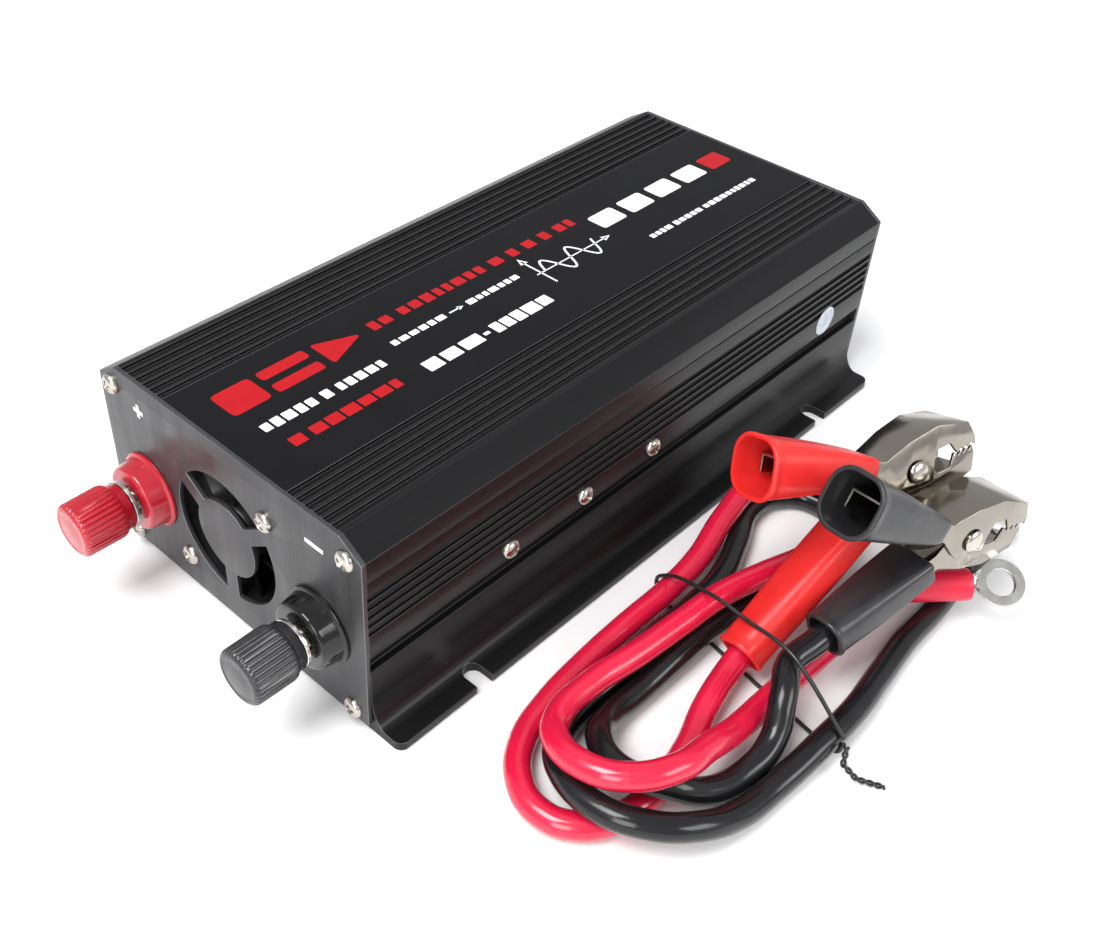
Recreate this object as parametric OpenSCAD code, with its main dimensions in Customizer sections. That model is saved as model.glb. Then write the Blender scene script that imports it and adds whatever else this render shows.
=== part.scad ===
/* [Case] */
// Overall length of the case along X
case_l = 248; // [240:1:256]
// Width of the case across Y
case_w = 115; // [113:1:118]
// Height of the case, from the flange underside to the top face
case_h = 71; // [70:0.5:73]
// Height at which the top shell meets the base
split_z = 30; // [29.5:0.5:30.5]
// Wall thickness of the extrusions
wall = 2.5; // [2:0.1:2.6]
// Thickness of the two end plates
plate_t = 1.5; // [1:0.1:2]
// Thickness of the mounting flange
flange_t = 3; // [2.5:0.1:3.5]
// How far the flange stands out beside the case
flange_out = 11.5; // [10:0.5:14]
// Distance of the mounting slots from the middle, along X
slot_x = 89; // [80:1:95]
// Width of a mounting slot
slot_w = 6.5; // [5:0.1:7]

/* [Fan] */
// Side of the square fan frame
fan_side = 50; // [48:1:50]
// Distance between neighbouring fan screws
fan_pitch = 40; // [39:0.5:41]
// Radius of the fan opening in the end plate
fan_hole_r = 22; // [20:0.5:22.5]
// Radius of the solid disc in the middle of the guard
guard_disc_r = 13; // [11:0.5:14]
// Number of blades
fan_blades = 7; // [5:1:9]

/* [Battery posts] */
// Distance of each post from the middle of the case
post_y = 39; // [38:0.5:41]
// Height of the posts
post_z = 31; // [29:0.5:33]
// Radius of the threaded stud
stud_r = 4; // [3.5:0.1:4.2]
// Radius of the knob over its flutes
knob_r = 8.8; // [8:0.1:9.4]
// Number of flutes on a knob
knob_flutes = 32; // [24:2:36]

/* [Battery leads] */
// Radius of the battery cables
cable_r = 4; // [3.8:0.1:4]
// Radius of the hole in a ring terminal
ring_hole_r = 4.2; // [4:0.1:4.4]
// Angle between a clip's centre line and each handle
clip_half_angle = 24; // [22:0.5:25]

/* [Hidden] */

e = 0.01;
round_fn = 48;
half_l = case_l / 2;
half_w = case_w / 2;
flange_y = half_w + flange_out;
ext_l = case_l - 2 * plate_t;
inner_y = half_w - wall;

// Case section
chamfer_y = 8.4;
chamfer_z = 5.2;
top_t = 3;
groove_n = 5;
groove_pitch = 3.2;
groove_w = 2.2;
groove_d = 1.2;
groove_z0 = split_z + 8.7;
line_z = case_h - 12;
line_w = 0.6;
rib_n = 6;
rib_pitch = 3.5;
rib_gap = 2.4;
rib_d = 1.2;
label_half = 27;
label_t = 0.4;
recess_z = split_z - 5.5;
recess_d = 2.4;
tongue_t = 2;
tongue_top = split_z + 2;
cove_r = 11;
flange_corner_r = 3;
floor_t = 3;
boss_r = 3.1;
boss_hole_r = 1.3;
plate_z0 = 3.2;
screw_y = half_w - 6;
screw_top_z = case_h - 6.9;
screw_low_z = plate_z0 + 3.4;

// Screws
head_r = 3.3;
head_h = 2;
shank_r = 1.25;
shank_l = 9;
side_screw_x = [-68, -35, -2];
side_screw_z = split_z + 4.2;

// Fan
fan_y = 2;
fan_z = 35;
fan_t = 15;
fan_x0 = -half_l + plate_t + 0.3;
fan_bore_r = 23.4;
fan_hub_r = 10.5;
fan_pin_r = 1.5;
blade_t = 1.4;
guard_arm_w = 5.4;
guard_arms = [180, 55, -55];

// Battery posts, measured outwards from the plate's outer face
collar_rim_r = 12.4;
collar_rim_t = 1.3;
collar_r = 11.4;
collar_front_r = 10.4;
collar_l = 7.6;
collar_bore_r = 4.3;
collar_step_r = 6.4;
washer_at = 9.2;
washer_t = 1.2;
washer_r = 7.4;
neck_r = 7.6;
neck_l = 3;
flute_l = 13.4;
knob_end_l = 1.5;
flute_d = 0.45;
knob_at = washer_at + washer_t + 0.3;
stud_out = 22;
stud_in = 16;
nut_af = 13;
nut_t = 5;
running_gap = 0.05;

// Board and what stands on it
board_z = 11;
board_t = 1.6;
board_x0 = -100;
board_x1 = 108;
board_half_y = 51.8;
board_top = board_z + board_t;
standoff_r = 3;
standoff_at = [[-92, 44], [4, 44], [100, 44], [-92, -44], [4, -44], [100, -44]];
trafo_x = [-58, -14];
trafo_l = 36;
trafo_w = 34;
trafo_h = 34;
trafo_y = 4;
fet_x = [-79, -57, -46, -24, -13, 9];
fet_w = 10;
fet_h = 15;
fet_t = 4.5;
fet_z0 = split_z + 3;
leg_y = 50.8;
strip_t = 0.4;
bar_t = 3;
bar_y1 = inner_y - strip_t - fet_t;
fuse_n = 4;
fuse_x = -76;
fuse_y0 = -42.5;
fuse_pitch = 8.6;
fuse_l = 19;
fuse_w = 5;
fuse_h = 18;
fuse_leg = 5;
in_can_x = -92.5;
in_can_y0 = -29.5;
in_can_pitch = 14.5;
in_can_r = 6.3;
bus_can_x = 24;
bus_can_y0 = -22;
bus_can_pitch = 26;
bus_can_r = 11;
wire_r = 2.6;
ac_wire_r = 1.3;
ac_wire_x = 96;

// AC end
outlet_y = -26;
outlet_z = 35;
outlet_side = 44;
outlet_face_t = 3;
outlet_depth = 16;
outlet_pins = [[-7.5, 5, 6.8, 4.8], [7.5, 5, 6.8, 4.8], [0, -8.5, 5.2, 6.4]];
pin_depth = 12;
contact_r = 1.45;
contact_back = outlet_depth + 3;
display_y = 24;
display_z = 52;
display_w = 32;
display_h = 15;
switch_y = 14;
switch_z = 24;
switch_w = 21;
switch_h = 15;
rocker_l = switch_w - 6;
rocker_h = switch_h - 7;
rocker_in = 2.5;
rocker_tilt = 9;
rocker_pin_r = 1.2;
rocker_pin_l = 10.4;
rocker_face_r = 22;
usb_y = 40;
usb_z = 24;
usb_w = 13.2;
usb_h = 5.7;
usb_depth = 13;
vent_n = 5;
vent_pitch = 4.4;
vent_w = 2.4;
vent_y0 = 44;
vent_y1 = 53;
vent_z0 = 36;
sticker_r = 5.5;
sticker_t = 0.15;
sticker_x = 98;
sticker_z = split_z + 5.6;
mark_t = 0.15;
mark_w = 1.3;
mark_z = 60.6;

// A clip: X towards the jaws, Z across the handles, Y along the rivet, origin at the rivet
sheet_t = 0.9;
handle_start = 13;
handle_end = 49;
handle_d = 3;
jaw_tip = 22;
upper_plan = [[-62, 6.3], [-8, 6.8], [jaw_tip, 8.8], [jaw_tip + 3, 8.8]];
lower_plan = [[-62, 4.9], [-8, 5.4], [jaw_tip, 7.4], [jaw_tip + 3, 7.4]];
rivet_r = 2.2;
rivet_head_r = 3.6;
rivet_half = 7.8;
clip_u = [-cos(clip_half_angle), sin(clip_half_angle)];
clip_n = [sin(clip_half_angle), cos(clip_half_angle)];
nickel = [0.72, 0.70, 0.66];
spring_wire_r = 0.75;
spring_coil_r = rivet_r + spring_wire_r + 0.2;
spring_turns = 4;
spring_leg_y = (spring_turns - 1) / 2 * spring_wire_r * 1.8;
spring_leg_l = 13;
spring_lower_turn = clip_half_angle - 10;
spring_upper_turn = 8;
slice_t = 0.05;
boot_start = 16.5;
boot_wall = 1;
upper_boot_end = 57;
red_lower_boot_end = 76;
black_lower_boot_end = 54;
red_clip_at = [33.9, -123.0, 44.8];
red_clip_turn = [-22.9, -6.1, -16.8];
black_clip_at = [32.6, -144.4, 34.3];
black_clip_turn = [-8, 8.4, -12.5];

// Ring terminals: X from the cable towards the ring, origin at the middle of the ring
ring_r = 7.5;
ring_t = 1.6;
barrel_r = 3.9;
barrel_from = 9;
barrel_to = 22;
sleeve_to = 31;
sleeve_r = 5.1;
red_ring_at = [44, -160, 14.5];
red_ring_turn = [30, -3.2, -45];
black_ring_at = [80, -143, 5.2];
black_ring_turn = [0, 0, 6];

// Cable routes, from the ring terminal to the clip
red_route = [
    [28.4, -144.4, 13.3], [20.7, -136.7, 12.7], [8, -134.6, 9.5], [-8.1, -133.5, 6],
    [-24.1, -132.9, 5.9], [-40.2, -132.5, 5.9], [-56.2, -133.3, 9.4], [-72.2, -134.2, 17],
    [-86.1, -133.8, 21], [-97, -127.1, 21.4], [-101.8, -116.3, 20.3], [-99.2, -104.5, 17.7],
    [-90.8, -98.1, 15.2], [-75.9, -96.7, 14.1], [-57.9, -98.7, 13.8], [-39.9, -100.2, 13.7],
    [-22, -101.8, 13.8], [-4, -105.8, 13.2], [14, -110.9, 13], [30, -111.8, 12.7], [42, -105.8, 12.7],
    [45.9, -94.7, 12.8], [40.9, -83.6, 12.8], [28.8, -78.9, 12.5], [11.8, -80, 9.8],
    [-6.2, -83.7, 6.6], [-24.1, -85.5, 6.2], [-44.1, -85.7, 6.1], [-64.1, -85.8, 4.6],
    [-84.1, -87.9, 4.3], [-98, -91.9, 4.3], [-108, -100, 4.2], [-111.6, -110, 4.2],
    [-108.1, -120.1, 4.2], [-98.1, -126.5, 4.2], [-84, -128, 4.2], [-68, -126, 4.5],
    [-53.6, -121.5, 6.2], [-35.8, -118.3, 7.8], [-24.5, -118.8, 14.3], [-12.5, -119.7, 20.5]
];
black_route = [
    [58.1, -145.3, 5.2], [47.2, -146.4, 5.2], [30, -147.8, 4.2], [12, -148.1, 4.2], [-6.1, -150, 4.3],
    [-24.2, -152.1, 5.9], [-42.3, -151.8, 5.9], [-60.4, -150.4, 4.4], [-76.4, -148.9, 5.9],
    [-90.3, -144.4, 10.5], [-100.1, -135.4, 12.6], [-104.6, -122.9, 12.4], [-101.2, -108.7, 10.3],
    [-92.2, -100, 6.6], [-78.1, -95.9, 4.3], [-60, -95.4, 4.3], [-42, -95, 5.8], [-23.9, -95.1, 5.9],
    [-5.8, -92.8, 4.4], [10.3, -87.1, 4.3], [27.5, -80.8, 4.2], [40.3, -84, 4.2], [46.3, -95.6, 4.3],
    [41.4, -107.4, 4.3], [29.2, -112.9, 4.3], [12, -110.8, 4.3], [-7, -106.9, 4.5], [-26, -104, 5.9],
    [-44, -103.8, 5.7], [-62, -103.6, 4.5], [-75.9, -104.3, 6.1], [-85.9, -109, 10.3],
    [-91.4, -120.7, 13], [-86.6, -132.4, 13.1], [-77.8, -138.9, 7.8], [-61.7, -142.2, 5],
    [-50.6, -142.2, 7.9], [-40.7, -137.5, 15.7], [-31.9, -133.2, 17.2], [-22.4, -134.4, 18.9],
    [-15.8, -135.6, 20.7]
];
cable_sides = 8;
tie_r = 0.8;
tie_sides = 6;
tie_route = [[-37.2, -156.7, 7], [-37.1, -155.4, 2.4], [-36.4, -151.5, 0.9], [-24.8, -85.4, 0.9],
    [-24.2, -82.2, 2.5],
    [-23.9, -80.5, 6.2], [-24.2, -82.2, 10], [-27.6, -101.3, 18.9], [-30, -117, 20.6], [-33, -132.2, 22.6],
    [-34, -137, 21.4], [-37, -154.9, 9.9], [-37.2, -156.4, 8.9]];
tie_tail = [[-38.2, -158, 8], [-41, -159.5, 4], [-40.5, -164, 1.4], [-37, -171, 0.9]];

// ---- helpers ----
module out_x(x) { translate([-half_l - x, 0, 0]) children(); }
module along_x(r, x0, x1, y, z, fn = round_fn)
    translate([x0, y, z]) rotate([0, 90, 0]) cylinder(r = r, h = x1 - x0, $fn = fn);
module block(x0, x1, y0, y1, z0, z1) translate([x0, y0, z0]) cube([x1 - x0, y1 - y0, z1 - z0]);
module both_y() { children(); mirror([0, 1, 0]) children(); }
// Extrudes a (y, z) outline along X
module section(x0, l) translate([x0, 0, 0]) rotate([90, 0, 90]) linear_extrude(l) children();
module span(y0, y1, z0, z1) translate([y0, z0]) square([y1 - y0, z1 - z0]);
// A machine screw with a domed cross head, head outwards along +Z, shank down
module screw(l = shank_l) {
    difference() {
        union() {
            cylinder(r = head_r, h = head_h * 0.55, $fn = round_fn);
            translate([0, 0, head_h * 0.55])
                cylinder(r1 = head_r, r2 = head_r * 0.72, h = head_h * 0.45, $fn = round_fn);
        }
        for (a = [0, 90]) rotate([0, 0, a])
            translate([-head_r * 0.62, -0.4, head_h - 0.9]) cube([head_r * 1.24, 0.8, 2]);
    }
    translate([0, 0, -l]) cylinder(r = shank_r, h = l + e, $fn = 24);
}

// ---- case ----
module cove_outline() {
    arc = [for (a = [0 : 15 : 90]) [half_w + cove_r * (1 - cos(a)) * 0.5,
    flange_t + cove_r * (1 - sin(a))]];
    polygon(concat([[inner_y, 0]], [[flange_y, 0]], [[flange_y, flange_t]],
        [[half_w + cove_r * 0.5, flange_t]],
        [for (i = [len(arc) - 1 : -1 : 0]) arc[i]],
        [[half_w, recess_z], [half_w - recess_d, recess_z], [half_w - recess_d, split_z],
         [inner_y - 0.3, split_z], [inner_y - 0.3, tongue_top], [inner_y - 0.3 - tongue_t, tongue_top],
         [inner_y - 0.3 - tongue_t, floor_t]]));
}
module boss(y, z) translate([y, z]) circle(r = boss_r, $fn = 32);
module boss_hole(y, z) translate([y, z]) circle(r = boss_hole_r, $fn = 24);
module base_extrusion() color([0.05, 0.05, 0.055]) difference() {
    section(-ext_l / 2, ext_l) difference() {
        union() {
            span(-inner_y, inner_y, 0, floor_t);
            for (s = [0, 1]) mirror([s, 0]) {
                cove_outline();
                boss(screw_y, screw_low_z);
            }
        }
        for (s = [-1, 1]) boss_hole(s * screw_y, screw_low_z);
    }
    for (sx = [-1, 1], sy = [-1, 1]) translate([sx * slot_x, sy * (flange_y - 4.7), -1]) {
        cylinder(r = slot_w / 2, h = flange_t + 2, $fn = 32);
        translate([-slot_w / 2, sy > 0 ? 0 : -10, 0]) cube([slot_w, 10, flange_t + 2]);
    }
    for (sx = [0, 1], sy = [0, 1]) mirror([sx, 0, 0]) mirror([0, sy, 0])
        translate([ext_l / 2 - flange_corner_r, flange_y - flange_corner_r, -1])
        linear_extrude(flange_t + 2)
            difference() {
                square(flange_corner_r + 1);
                circle(r = flange_corner_r, $fn = 32);
            }
}
module shell_outline() {
    side = [[half_w, split_z], [half_w, case_h - chamfer_z], [half_w - chamfer_y, case_h]];
    difference() {
        polygon(concat(side, [for (i = [2 : -1 : 0]) [-side[i][0], side[i][1]]]));
        polygon([[inner_y, split_z - 1], [inner_y, case_h - chamfer_z - 1.2],
            [inner_y - chamfer_y + 1, case_h - top_t], [-inner_y + chamfer_y - 1, case_h - top_t],
            [-inner_y, case_h - chamfer_z - 1.2], [-inner_y, split_z - 1]]);
        for (s = [-1, 1]) {
            for (i = [0 : groove_n - 1])
                span(s * half_w - (s > 0 ? groove_d : 1), s * half_w + (s > 0 ? 1 : groove_d),
                    groove_z0 + i * groove_pitch, groove_z0 + i * groove_pitch + groove_w);
            span(s * half_w - (s > 0 ? 0.5 : 1), s * half_w + (s > 0 ? 1 : 0.5), line_z, line_z + line_w);
            for (i = [0 : rib_n - 1]) {
                y = label_half + 0.4 + i * rib_pitch;
                span(s > 0 ? y : -y - rib_gap, s > 0 ? y + rib_gap : -y, case_h - rib_d, case_h + 1);
            }
        }
        span(-label_half, label_half, case_h - label_t, case_h + 1);
    }
}
module top_shell() color([0.06, 0.06, 0.065]) difference() {
    section(-ext_l / 2, ext_l) difference() {
        union() {
            shell_outline();
            for (s = [-1, 1]) {
                boss(s * screw_y, screw_top_z);
                span(s > 0 ? screw_y : -inner_y - 1, s > 0 ? inner_y + 1 : -screw_y,
                    screw_top_z - 2, screw_top_z + 2);
            }
        }
        for (s = [-1, 1]) boss_hole(s * screw_y, screw_top_z);
    }
    for (x = side_screw_x) translate([x, 0, side_screw_z]) rotate([90, 0, 0])
        cylinder(r = shank_r + 0.1, h = case_w + 2, center = true, $fn = 24);
}
module plate_outline() polygon([[-half_w + 0.5, plate_z0], [half_w - 0.5, plate_z0], [half_w,
    plate_z0 + 0.5],
    [half_w, case_h - chamfer_z], [half_w - chamfer_y, case_h], [-half_w + chamfer_y, case_h],
    [-half_w, case_h - chamfer_z], [-half_w, plate_z0 + 0.5]]);
module plate_screw_holes() for (s = [-1, 1]) {
    translate([s * screw_y, screw_top_z]) circle(r = shank_r + 0.1, $fn = 24);
    translate([s * screw_y, screw_low_z]) circle(r = shank_r + 0.1, $fn = 24);
}
module guard_outline() {
    circle(r = guard_disc_r, $fn = 64);
    for (a = guard_arms) rotate(a) translate([-guard_arm_w / 2, 0]) square([guard_arm_w, fan_hole_r + 1]);
}
module dc_end_plate() color([0.3, 0.3, 0.31]) section(-half_l, plate_t) difference() {
    plate_outline();
    plate_screw_holes();
    translate([fan_y, fan_z]) difference() {
        circle(r = fan_hole_r, $fn = 96);
        guard_outline();
    }
    for (s = [-1, 1]) {
        translate([fan_y + s * fan_pitch / 2, fan_z - s * fan_pitch / 2]) circle(r = shank_r + 0.2,
        $fn = 24);
        translate([s * post_y, post_z]) circle(r = collar_step_r, $fn = round_fn);
    }
}
module cutout(y, z, w, h) translate([y - w / 2, z - h / 2]) square([w, h]);
module ac_end_plate() color([0.3, 0.3, 0.31]) section(half_l - plate_t, plate_t) difference() {
    plate_outline();
    plate_screw_holes();
    cutout(outlet_y, outlet_z, outlet_side - 4, outlet_side - 4);
    cutout(display_y, display_z, display_w - 4, display_h - 4);
    cutout(switch_y, switch_z, switch_w - 3, switch_h - 3);
    cutout(usb_y, usb_z, usb_w + 0.4, usb_h + 0.4);
    for (i = [0 : vent_n - 1]) span(vent_y0, vent_y1, vent_z0 + i * vent_pitch,
    vent_z0 + i * vent_pitch + vent_w);
}
module top_label() color([0.03, 0.03, 0.03])
    block(-ext_l / 2, ext_l / 2, -label_half, label_half, case_h - label_t, case_h);
module side_sticker() color([0.75, 0.76, 0.78]) translate([sticker_x, -half_w, sticker_z])
    rotate([90, 0, 0]) cylinder(r = sticker_r, h = sticker_t, $fn = round_fn);
module polarity_marks() color("white") {
    block(-half_l - mark_t, -half_l, post_y - 2.3, post_y + 2.3, mark_z - mark_w / 2, mark_z + mark_w / 2);
    block(-half_l - mark_t, -half_l, post_y - mark_w / 2, post_y + mark_w / 2, mark_z - 2.3, mark_z + 2.3);
    block(-half_l - mark_t, -half_l, -post_y - 3.6, -post_y + 3.6, mark_z - mark_w / 2,
    mark_z + mark_w / 2);
}
module plate_screws(side) for (s = [-1, 1], z = [screw_low_z, screw_top_z])
    translate([side * half_l, s * screw_y, z]) rotate([0, side * 90, 0]) screw();
module dc_plate_screws() color([0.75, 0.75, 0.73]) plate_screws(-1);
module ac_plate_screws() color([0.75, 0.75, 0.73]) plate_screws(1);
module side_screws() color([0.75, 0.75, 0.73]) both_y() for (x = side_screw_x)
    translate([x, half_w, side_screw_z]) rotate([-90, 0, 0]) screw(wall + strip_t + fet_t + 0.8);

// ---- fan ----
module at_fan() translate([fan_x0, fan_y, fan_z]) rotate([0, 90, 0]) children();
module fan_frame() color([0.04, 0.04, 0.04]) at_fan() difference() {
    union() {
        difference() {
            translate([-fan_side / 2, -fan_side / 2, 0]) cube([fan_side, fan_side, fan_t]);
            translate([0, 0, -1]) cylinder(r = fan_bore_r, h = fan_t + 2, $fn = 96);
        }
        translate([0, 0, fan_t - 2]) cylinder(r = fan_hub_r, h = 2, $fn = round_fn);
        for (a = [0 : 90 : 270]) rotate([0, 0, a + 20]) translate([0, -1.5, fan_t - 2])
        cube([fan_bore_r + 1, 3, 2]);
        translate([0, 0, 5]) cylinder(r = fan_pin_r, h = fan_t - 6, $fn = 32);
    }
    for (a = [0 : 90 : 270]) rotate([0, 0, a]) translate([fan_pitch / 2, fan_pitch / 2, -1])
        cylinder(r = shank_r + 0.3, h = fan_t + 2, $fn = 24);
}
module fan_rotor() color([0.03, 0.03, 0.03]) at_fan() difference() {
    union() {
        translate([0, 0, 1.2]) cylinder(r = fan_hub_r, h = 11, $fn = 64);
        for (i = [0 : fan_blades - 1]) rotate([0, 0, i * 360 / fan_blades])
            translate([0, 0, 6.7]) rotate([38, 0, 0]) translate([fan_hub_r - 1, -6.5, -blade_t / 2])
                cube([fan_bore_r - fan_hub_r - 0.2, 13, blade_t]);
    }
    translate([0, 0, 3]) cylinder(r = fan_pin_r + running_gap, h = 20, $fn = 32);
}
module fan_screws() color([0.75, 0.75, 0.73]) for (s = [-1, 1])
    translate([-half_l, fan_y + s * fan_pitch / 2, fan_z - s * fan_pitch / 2]) rotate([0, -90, 0]) screw(8);

// ---- battery posts ----
module at_post(s) translate([-half_l, s * post_y, post_z]) rotate([0, -90, 0]) children();
module collar() difference() {
    union() {
        cylinder(r = collar_rim_r, h = collar_rim_t, $fn = 64);
        translate([0, 0, collar_rim_t]) cylinder(r1 = collar_r, r2 = collar_front_r,
            h = collar_l - collar_rim_t - 1, $fn = 64);
        translate([0, 0, collar_l - 1]) cylinder(r1 = collar_front_r, r2 = collar_front_r - 1, h = 1,
        $fn = 64);
        translate([0, 0, -plate_t - 1.5]) cylinder(r = collar_step_r - 0.1, h = plate_t + 1.5 + e,
        $fn = round_fn);
    }
    translate([0, 0, -5]) cylinder(r = collar_bore_r, h = 20, $fn = round_fn);
}
module red_collar() color([0.65, 0.05, 0.08]) at_post(1) collar();
module black_collar() color([0.03, 0.03, 0.03]) at_post(-1) collar();
module terminal_studs() color([0.8, 0.78, 0.7]) for (s = [-1, 1]) at_post(s)
    translate([0, 0, -stud_in]) cylinder(r = stud_r, h = stud_in + stud_out, $fn = round_fn);
module stud_nuts() color([0.78, 0.78, 0.76]) for (s = [-1, 1]) at_post(s)
    translate([0, 0, -plate_t - 1.6 - nut_t]) difference() {
        cylinder(r = nut_af / sqrt(3), h = nut_t, $fn = 6);
        translate([0, 0, -1]) cylinder(r = stud_r + 0.02, h = nut_t + 2, $fn = round_fn);
    }
module washer() translate([0, 0, washer_at]) difference() {
    cylinder(r = washer_r, h = washer_t, $fn = round_fn);
    translate([0, 0, -1]) cylinder(r = stud_r + 0.4, h = washer_t + 2, $fn = round_fn);
}
module red_washer() color([0.8, 0.8, 0.78]) at_post(1) washer();
module black_washer() color([0.8, 0.8, 0.78]) at_post(-1) washer();
module fluted() {
    steps = knob_flutes * 4;
    polygon([for (i = [0 : steps - 1]) let (r = knob_r - flute_d * (1 - cos(i * 90)) / 2,
    a = i * 360 / steps)
        [r * cos(a), r * sin(a)]]);
}
module knob() translate([0, 0, knob_at]) difference() {
    union() {
        cylinder(r = neck_r, h = neck_l + e, $fn = 64);
        translate([0, 0, neck_l]) linear_extrude(flute_l) fluted();
        translate([0, 0, neck_l + flute_l - e])
            cylinder(r1 = knob_r - flute_d - 0.05, r2 = knob_r - 2, h = knob_end_l, $fn = 64);
    }
    translate([0, 0, -1]) cylinder(r = stud_r + running_gap, h = neck_l + flute_l, $fn = round_fn);
}
module red_knob() color([0.7, 0.08, 0.12]) at_post(1) knob();
module black_knob() color([0.12, 0.12, 0.12]) at_post(-1) knob();

// ---- electronics ----
module main_board() color([0.05, 0.25, 0.12]) difference() {
    block(board_x0, board_x1, -board_half_y, board_half_y, board_z, board_top);
    for (p = standoff_at) translate([p[0], p[1], board_z - 1]) cylinder(r = 1.6, h = 4, $fn = 24);
}
module board_standoffs() color([0.8, 0.7, 0.4]) for (p = standoff_at) translate([p[0], p[1], floor_t])
    difference() {
        cylinder(r = standoff_r, h = board_z - floor_t, $fn = 32);
        translate([0, 0, board_z - floor_t - 4]) cylinder(r = 1.5, h = 5, $fn = 24);
    }
module board_screws() color([0.75, 0.75, 0.73]) for (p = standoff_at) translate([p[0], p[1], board_top]) {
    cylinder(r = 2.8, h = 1.8, $fn = 32);
    translate([0, 0, -5]) cylinder(r = 1.45, h = 5 + e, $fn = 24);
}
module e_core() translate([0, 0, trafo_h / 2]) difference() {
    cube([trafo_l, 12, trafo_h], center = true);
    for (s = [-1, 1]) translate([s * 9.2, 0, 0]) cube([7.6, 14, trafo_h - 13], center = true);
}
module transformer_cores() color([0.16, 0.16, 0.17]) for (x = trafo_x)
    translate([x, trafo_y, board_top + 2]) e_core();
module transformer_windings() color([0.75, 0.62, 0.15]) for (x = trafo_x)
    translate([x, trafo_y, board_top + 2 + trafo_h / 2]) difference() {
        cube([25.6, trafo_w, trafo_h - 13.6], center = true);
        cube([11.2, 12.4, trafo_h], center = true);
        for (s = [-1, 1]) translate([s * 14.4, 0, 0]) cube([4, 12.4, trafo_h], center = true);
    }
module can(r, h) {
    cylinder(r = r, h = h - 1.2, $fn = round_fn);
    translate([0, 0, h - 1.2]) cylinder(r1 = r, r2 = r - 0.8, h = 1.2, $fn = round_fn);
}
module input_capacitors() color([0.1, 0.12, 0.3]) for (i = [0 : 2])
    translate([in_can_x, in_can_y0 + i * in_can_pitch, board_top]) can(in_can_r, 30);
module bus_capacitors() color([0.1, 0.12, 0.3]) for (i = [0, 1])
    translate([bus_can_x, bus_can_y0 + i * bus_can_pitch, board_top]) can(bus_can_r, 40);
module mosfets() color([0.07, 0.07, 0.07]) both_y() for (x = fet_x) {
    block(x - fet_w / 2, x + fet_w / 2, inner_y - strip_t - fet_t, inner_y - strip_t, fet_z0,
    fet_z0 + fet_h);
    for (dx = [-2.5, 0, 2.5]) block(x + dx - 0.4, x + dx + 0.4, leg_y, leg_y + 0.6, board_top, fet_z0 + e);
}
module insulator_strips() color([0.85, 0.85, 0.8]) both_y() difference() {
    block(fet_x[0] - 7, fet_x[len(fet_x) - 1] + 7, inner_y - strip_t, inner_y, fet_z0 - 0.6,
    fet_z0 + fet_h + 2);
    for (x = side_screw_x) translate([x, inner_y - 2, side_screw_z]) rotate([-90, 0, 0])
        cylinder(r = shank_r + 0.3, h = 4, $fn = 24);
}
module clamp_bars() color([0.7, 0.7, 0.72]) both_y() difference() {
    block(fet_x[0] - 7, fet_x[len(fet_x) - 1] + 7, bar_y1 - bar_t, bar_y1, fet_z0 - 1, fet_z0 + 10);
    for (x = side_screw_x) translate([x, bar_y1 - bar_t - 1, side_screw_z]) rotate([-90, 0, 0])
        cylinder(r = shank_r + 0.02, h = bar_t + 2, $fn = 24);
}
module filter_choke() color([0.75, 0.5, 0.2]) translate([60, 14, board_top + 14]) rotate([0, 90, 0])
    rotate_extrude($fn = 64) translate([9.5, 0]) circle(r = 4.4, $fn = 32);
module blade_fuses() color([0.9, 0.55, 0.1]) for (i = [0 : fuse_n - 1])
    translate([fuse_x, fuse_y0 + i * fuse_pitch, board_top]) {
        block(-fuse_l / 2, fuse_l / 2, -fuse_w / 2, fuse_w / 2, fuse_leg, fuse_h);
        for (s = [-1, 1]) translate([s * 7, 0, 0]) block(-2.5, 2.5, -0.4, 0.4, 0, fuse_leg + e);
    }
module control_board() color([0.05, 0.2, 0.4]) {
    block(40, 41.6, -48, -4, board_top, board_top + 26);
    for (i = [0 : 1]) block(41.6 - e, 44, -42 + i * 20, -32 + i * 20, board_top + 8, board_top + 14);
}
// A stiff wire from the inner end of a stud down to the board
module dc_wire(s) {
    x0 = -half_l + stud_in;
    x1 = board_x0 + 2;
    along_x(wire_r, x0, x1 + e, s * post_y, post_z);
    translate([x1, s * post_y, post_z]) sphere(r = wire_r + 0.3, $fn = 32);
    translate([x1, s * post_y, board_top]) cylinder(r = wire_r, h = post_z - board_top, $fn = 32);
}
module dc_wires() {
    color([0.7, 0.05, 0.05]) dc_wire(1);
    color([0.05, 0.05, 0.05]) dc_wire(-1);
}
module ac_wires() color([0.45, 0.25, 0.1]) for (i = [0, 1]) {
    y = outlet_y + outlet_pins[i][0];
    z = outlet_z + outlet_pins[i][1];
    along_x(ac_wire_r, ac_wire_x, half_l - contact_back, y, z);
    translate([ac_wire_x, y, z]) sphere(r = ac_wire_r + 0.2, $fn = 24);
    translate([ac_wire_x, y, board_top]) cylinder(r = ac_wire_r, h = z - board_top, $fn = 24);
}

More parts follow.
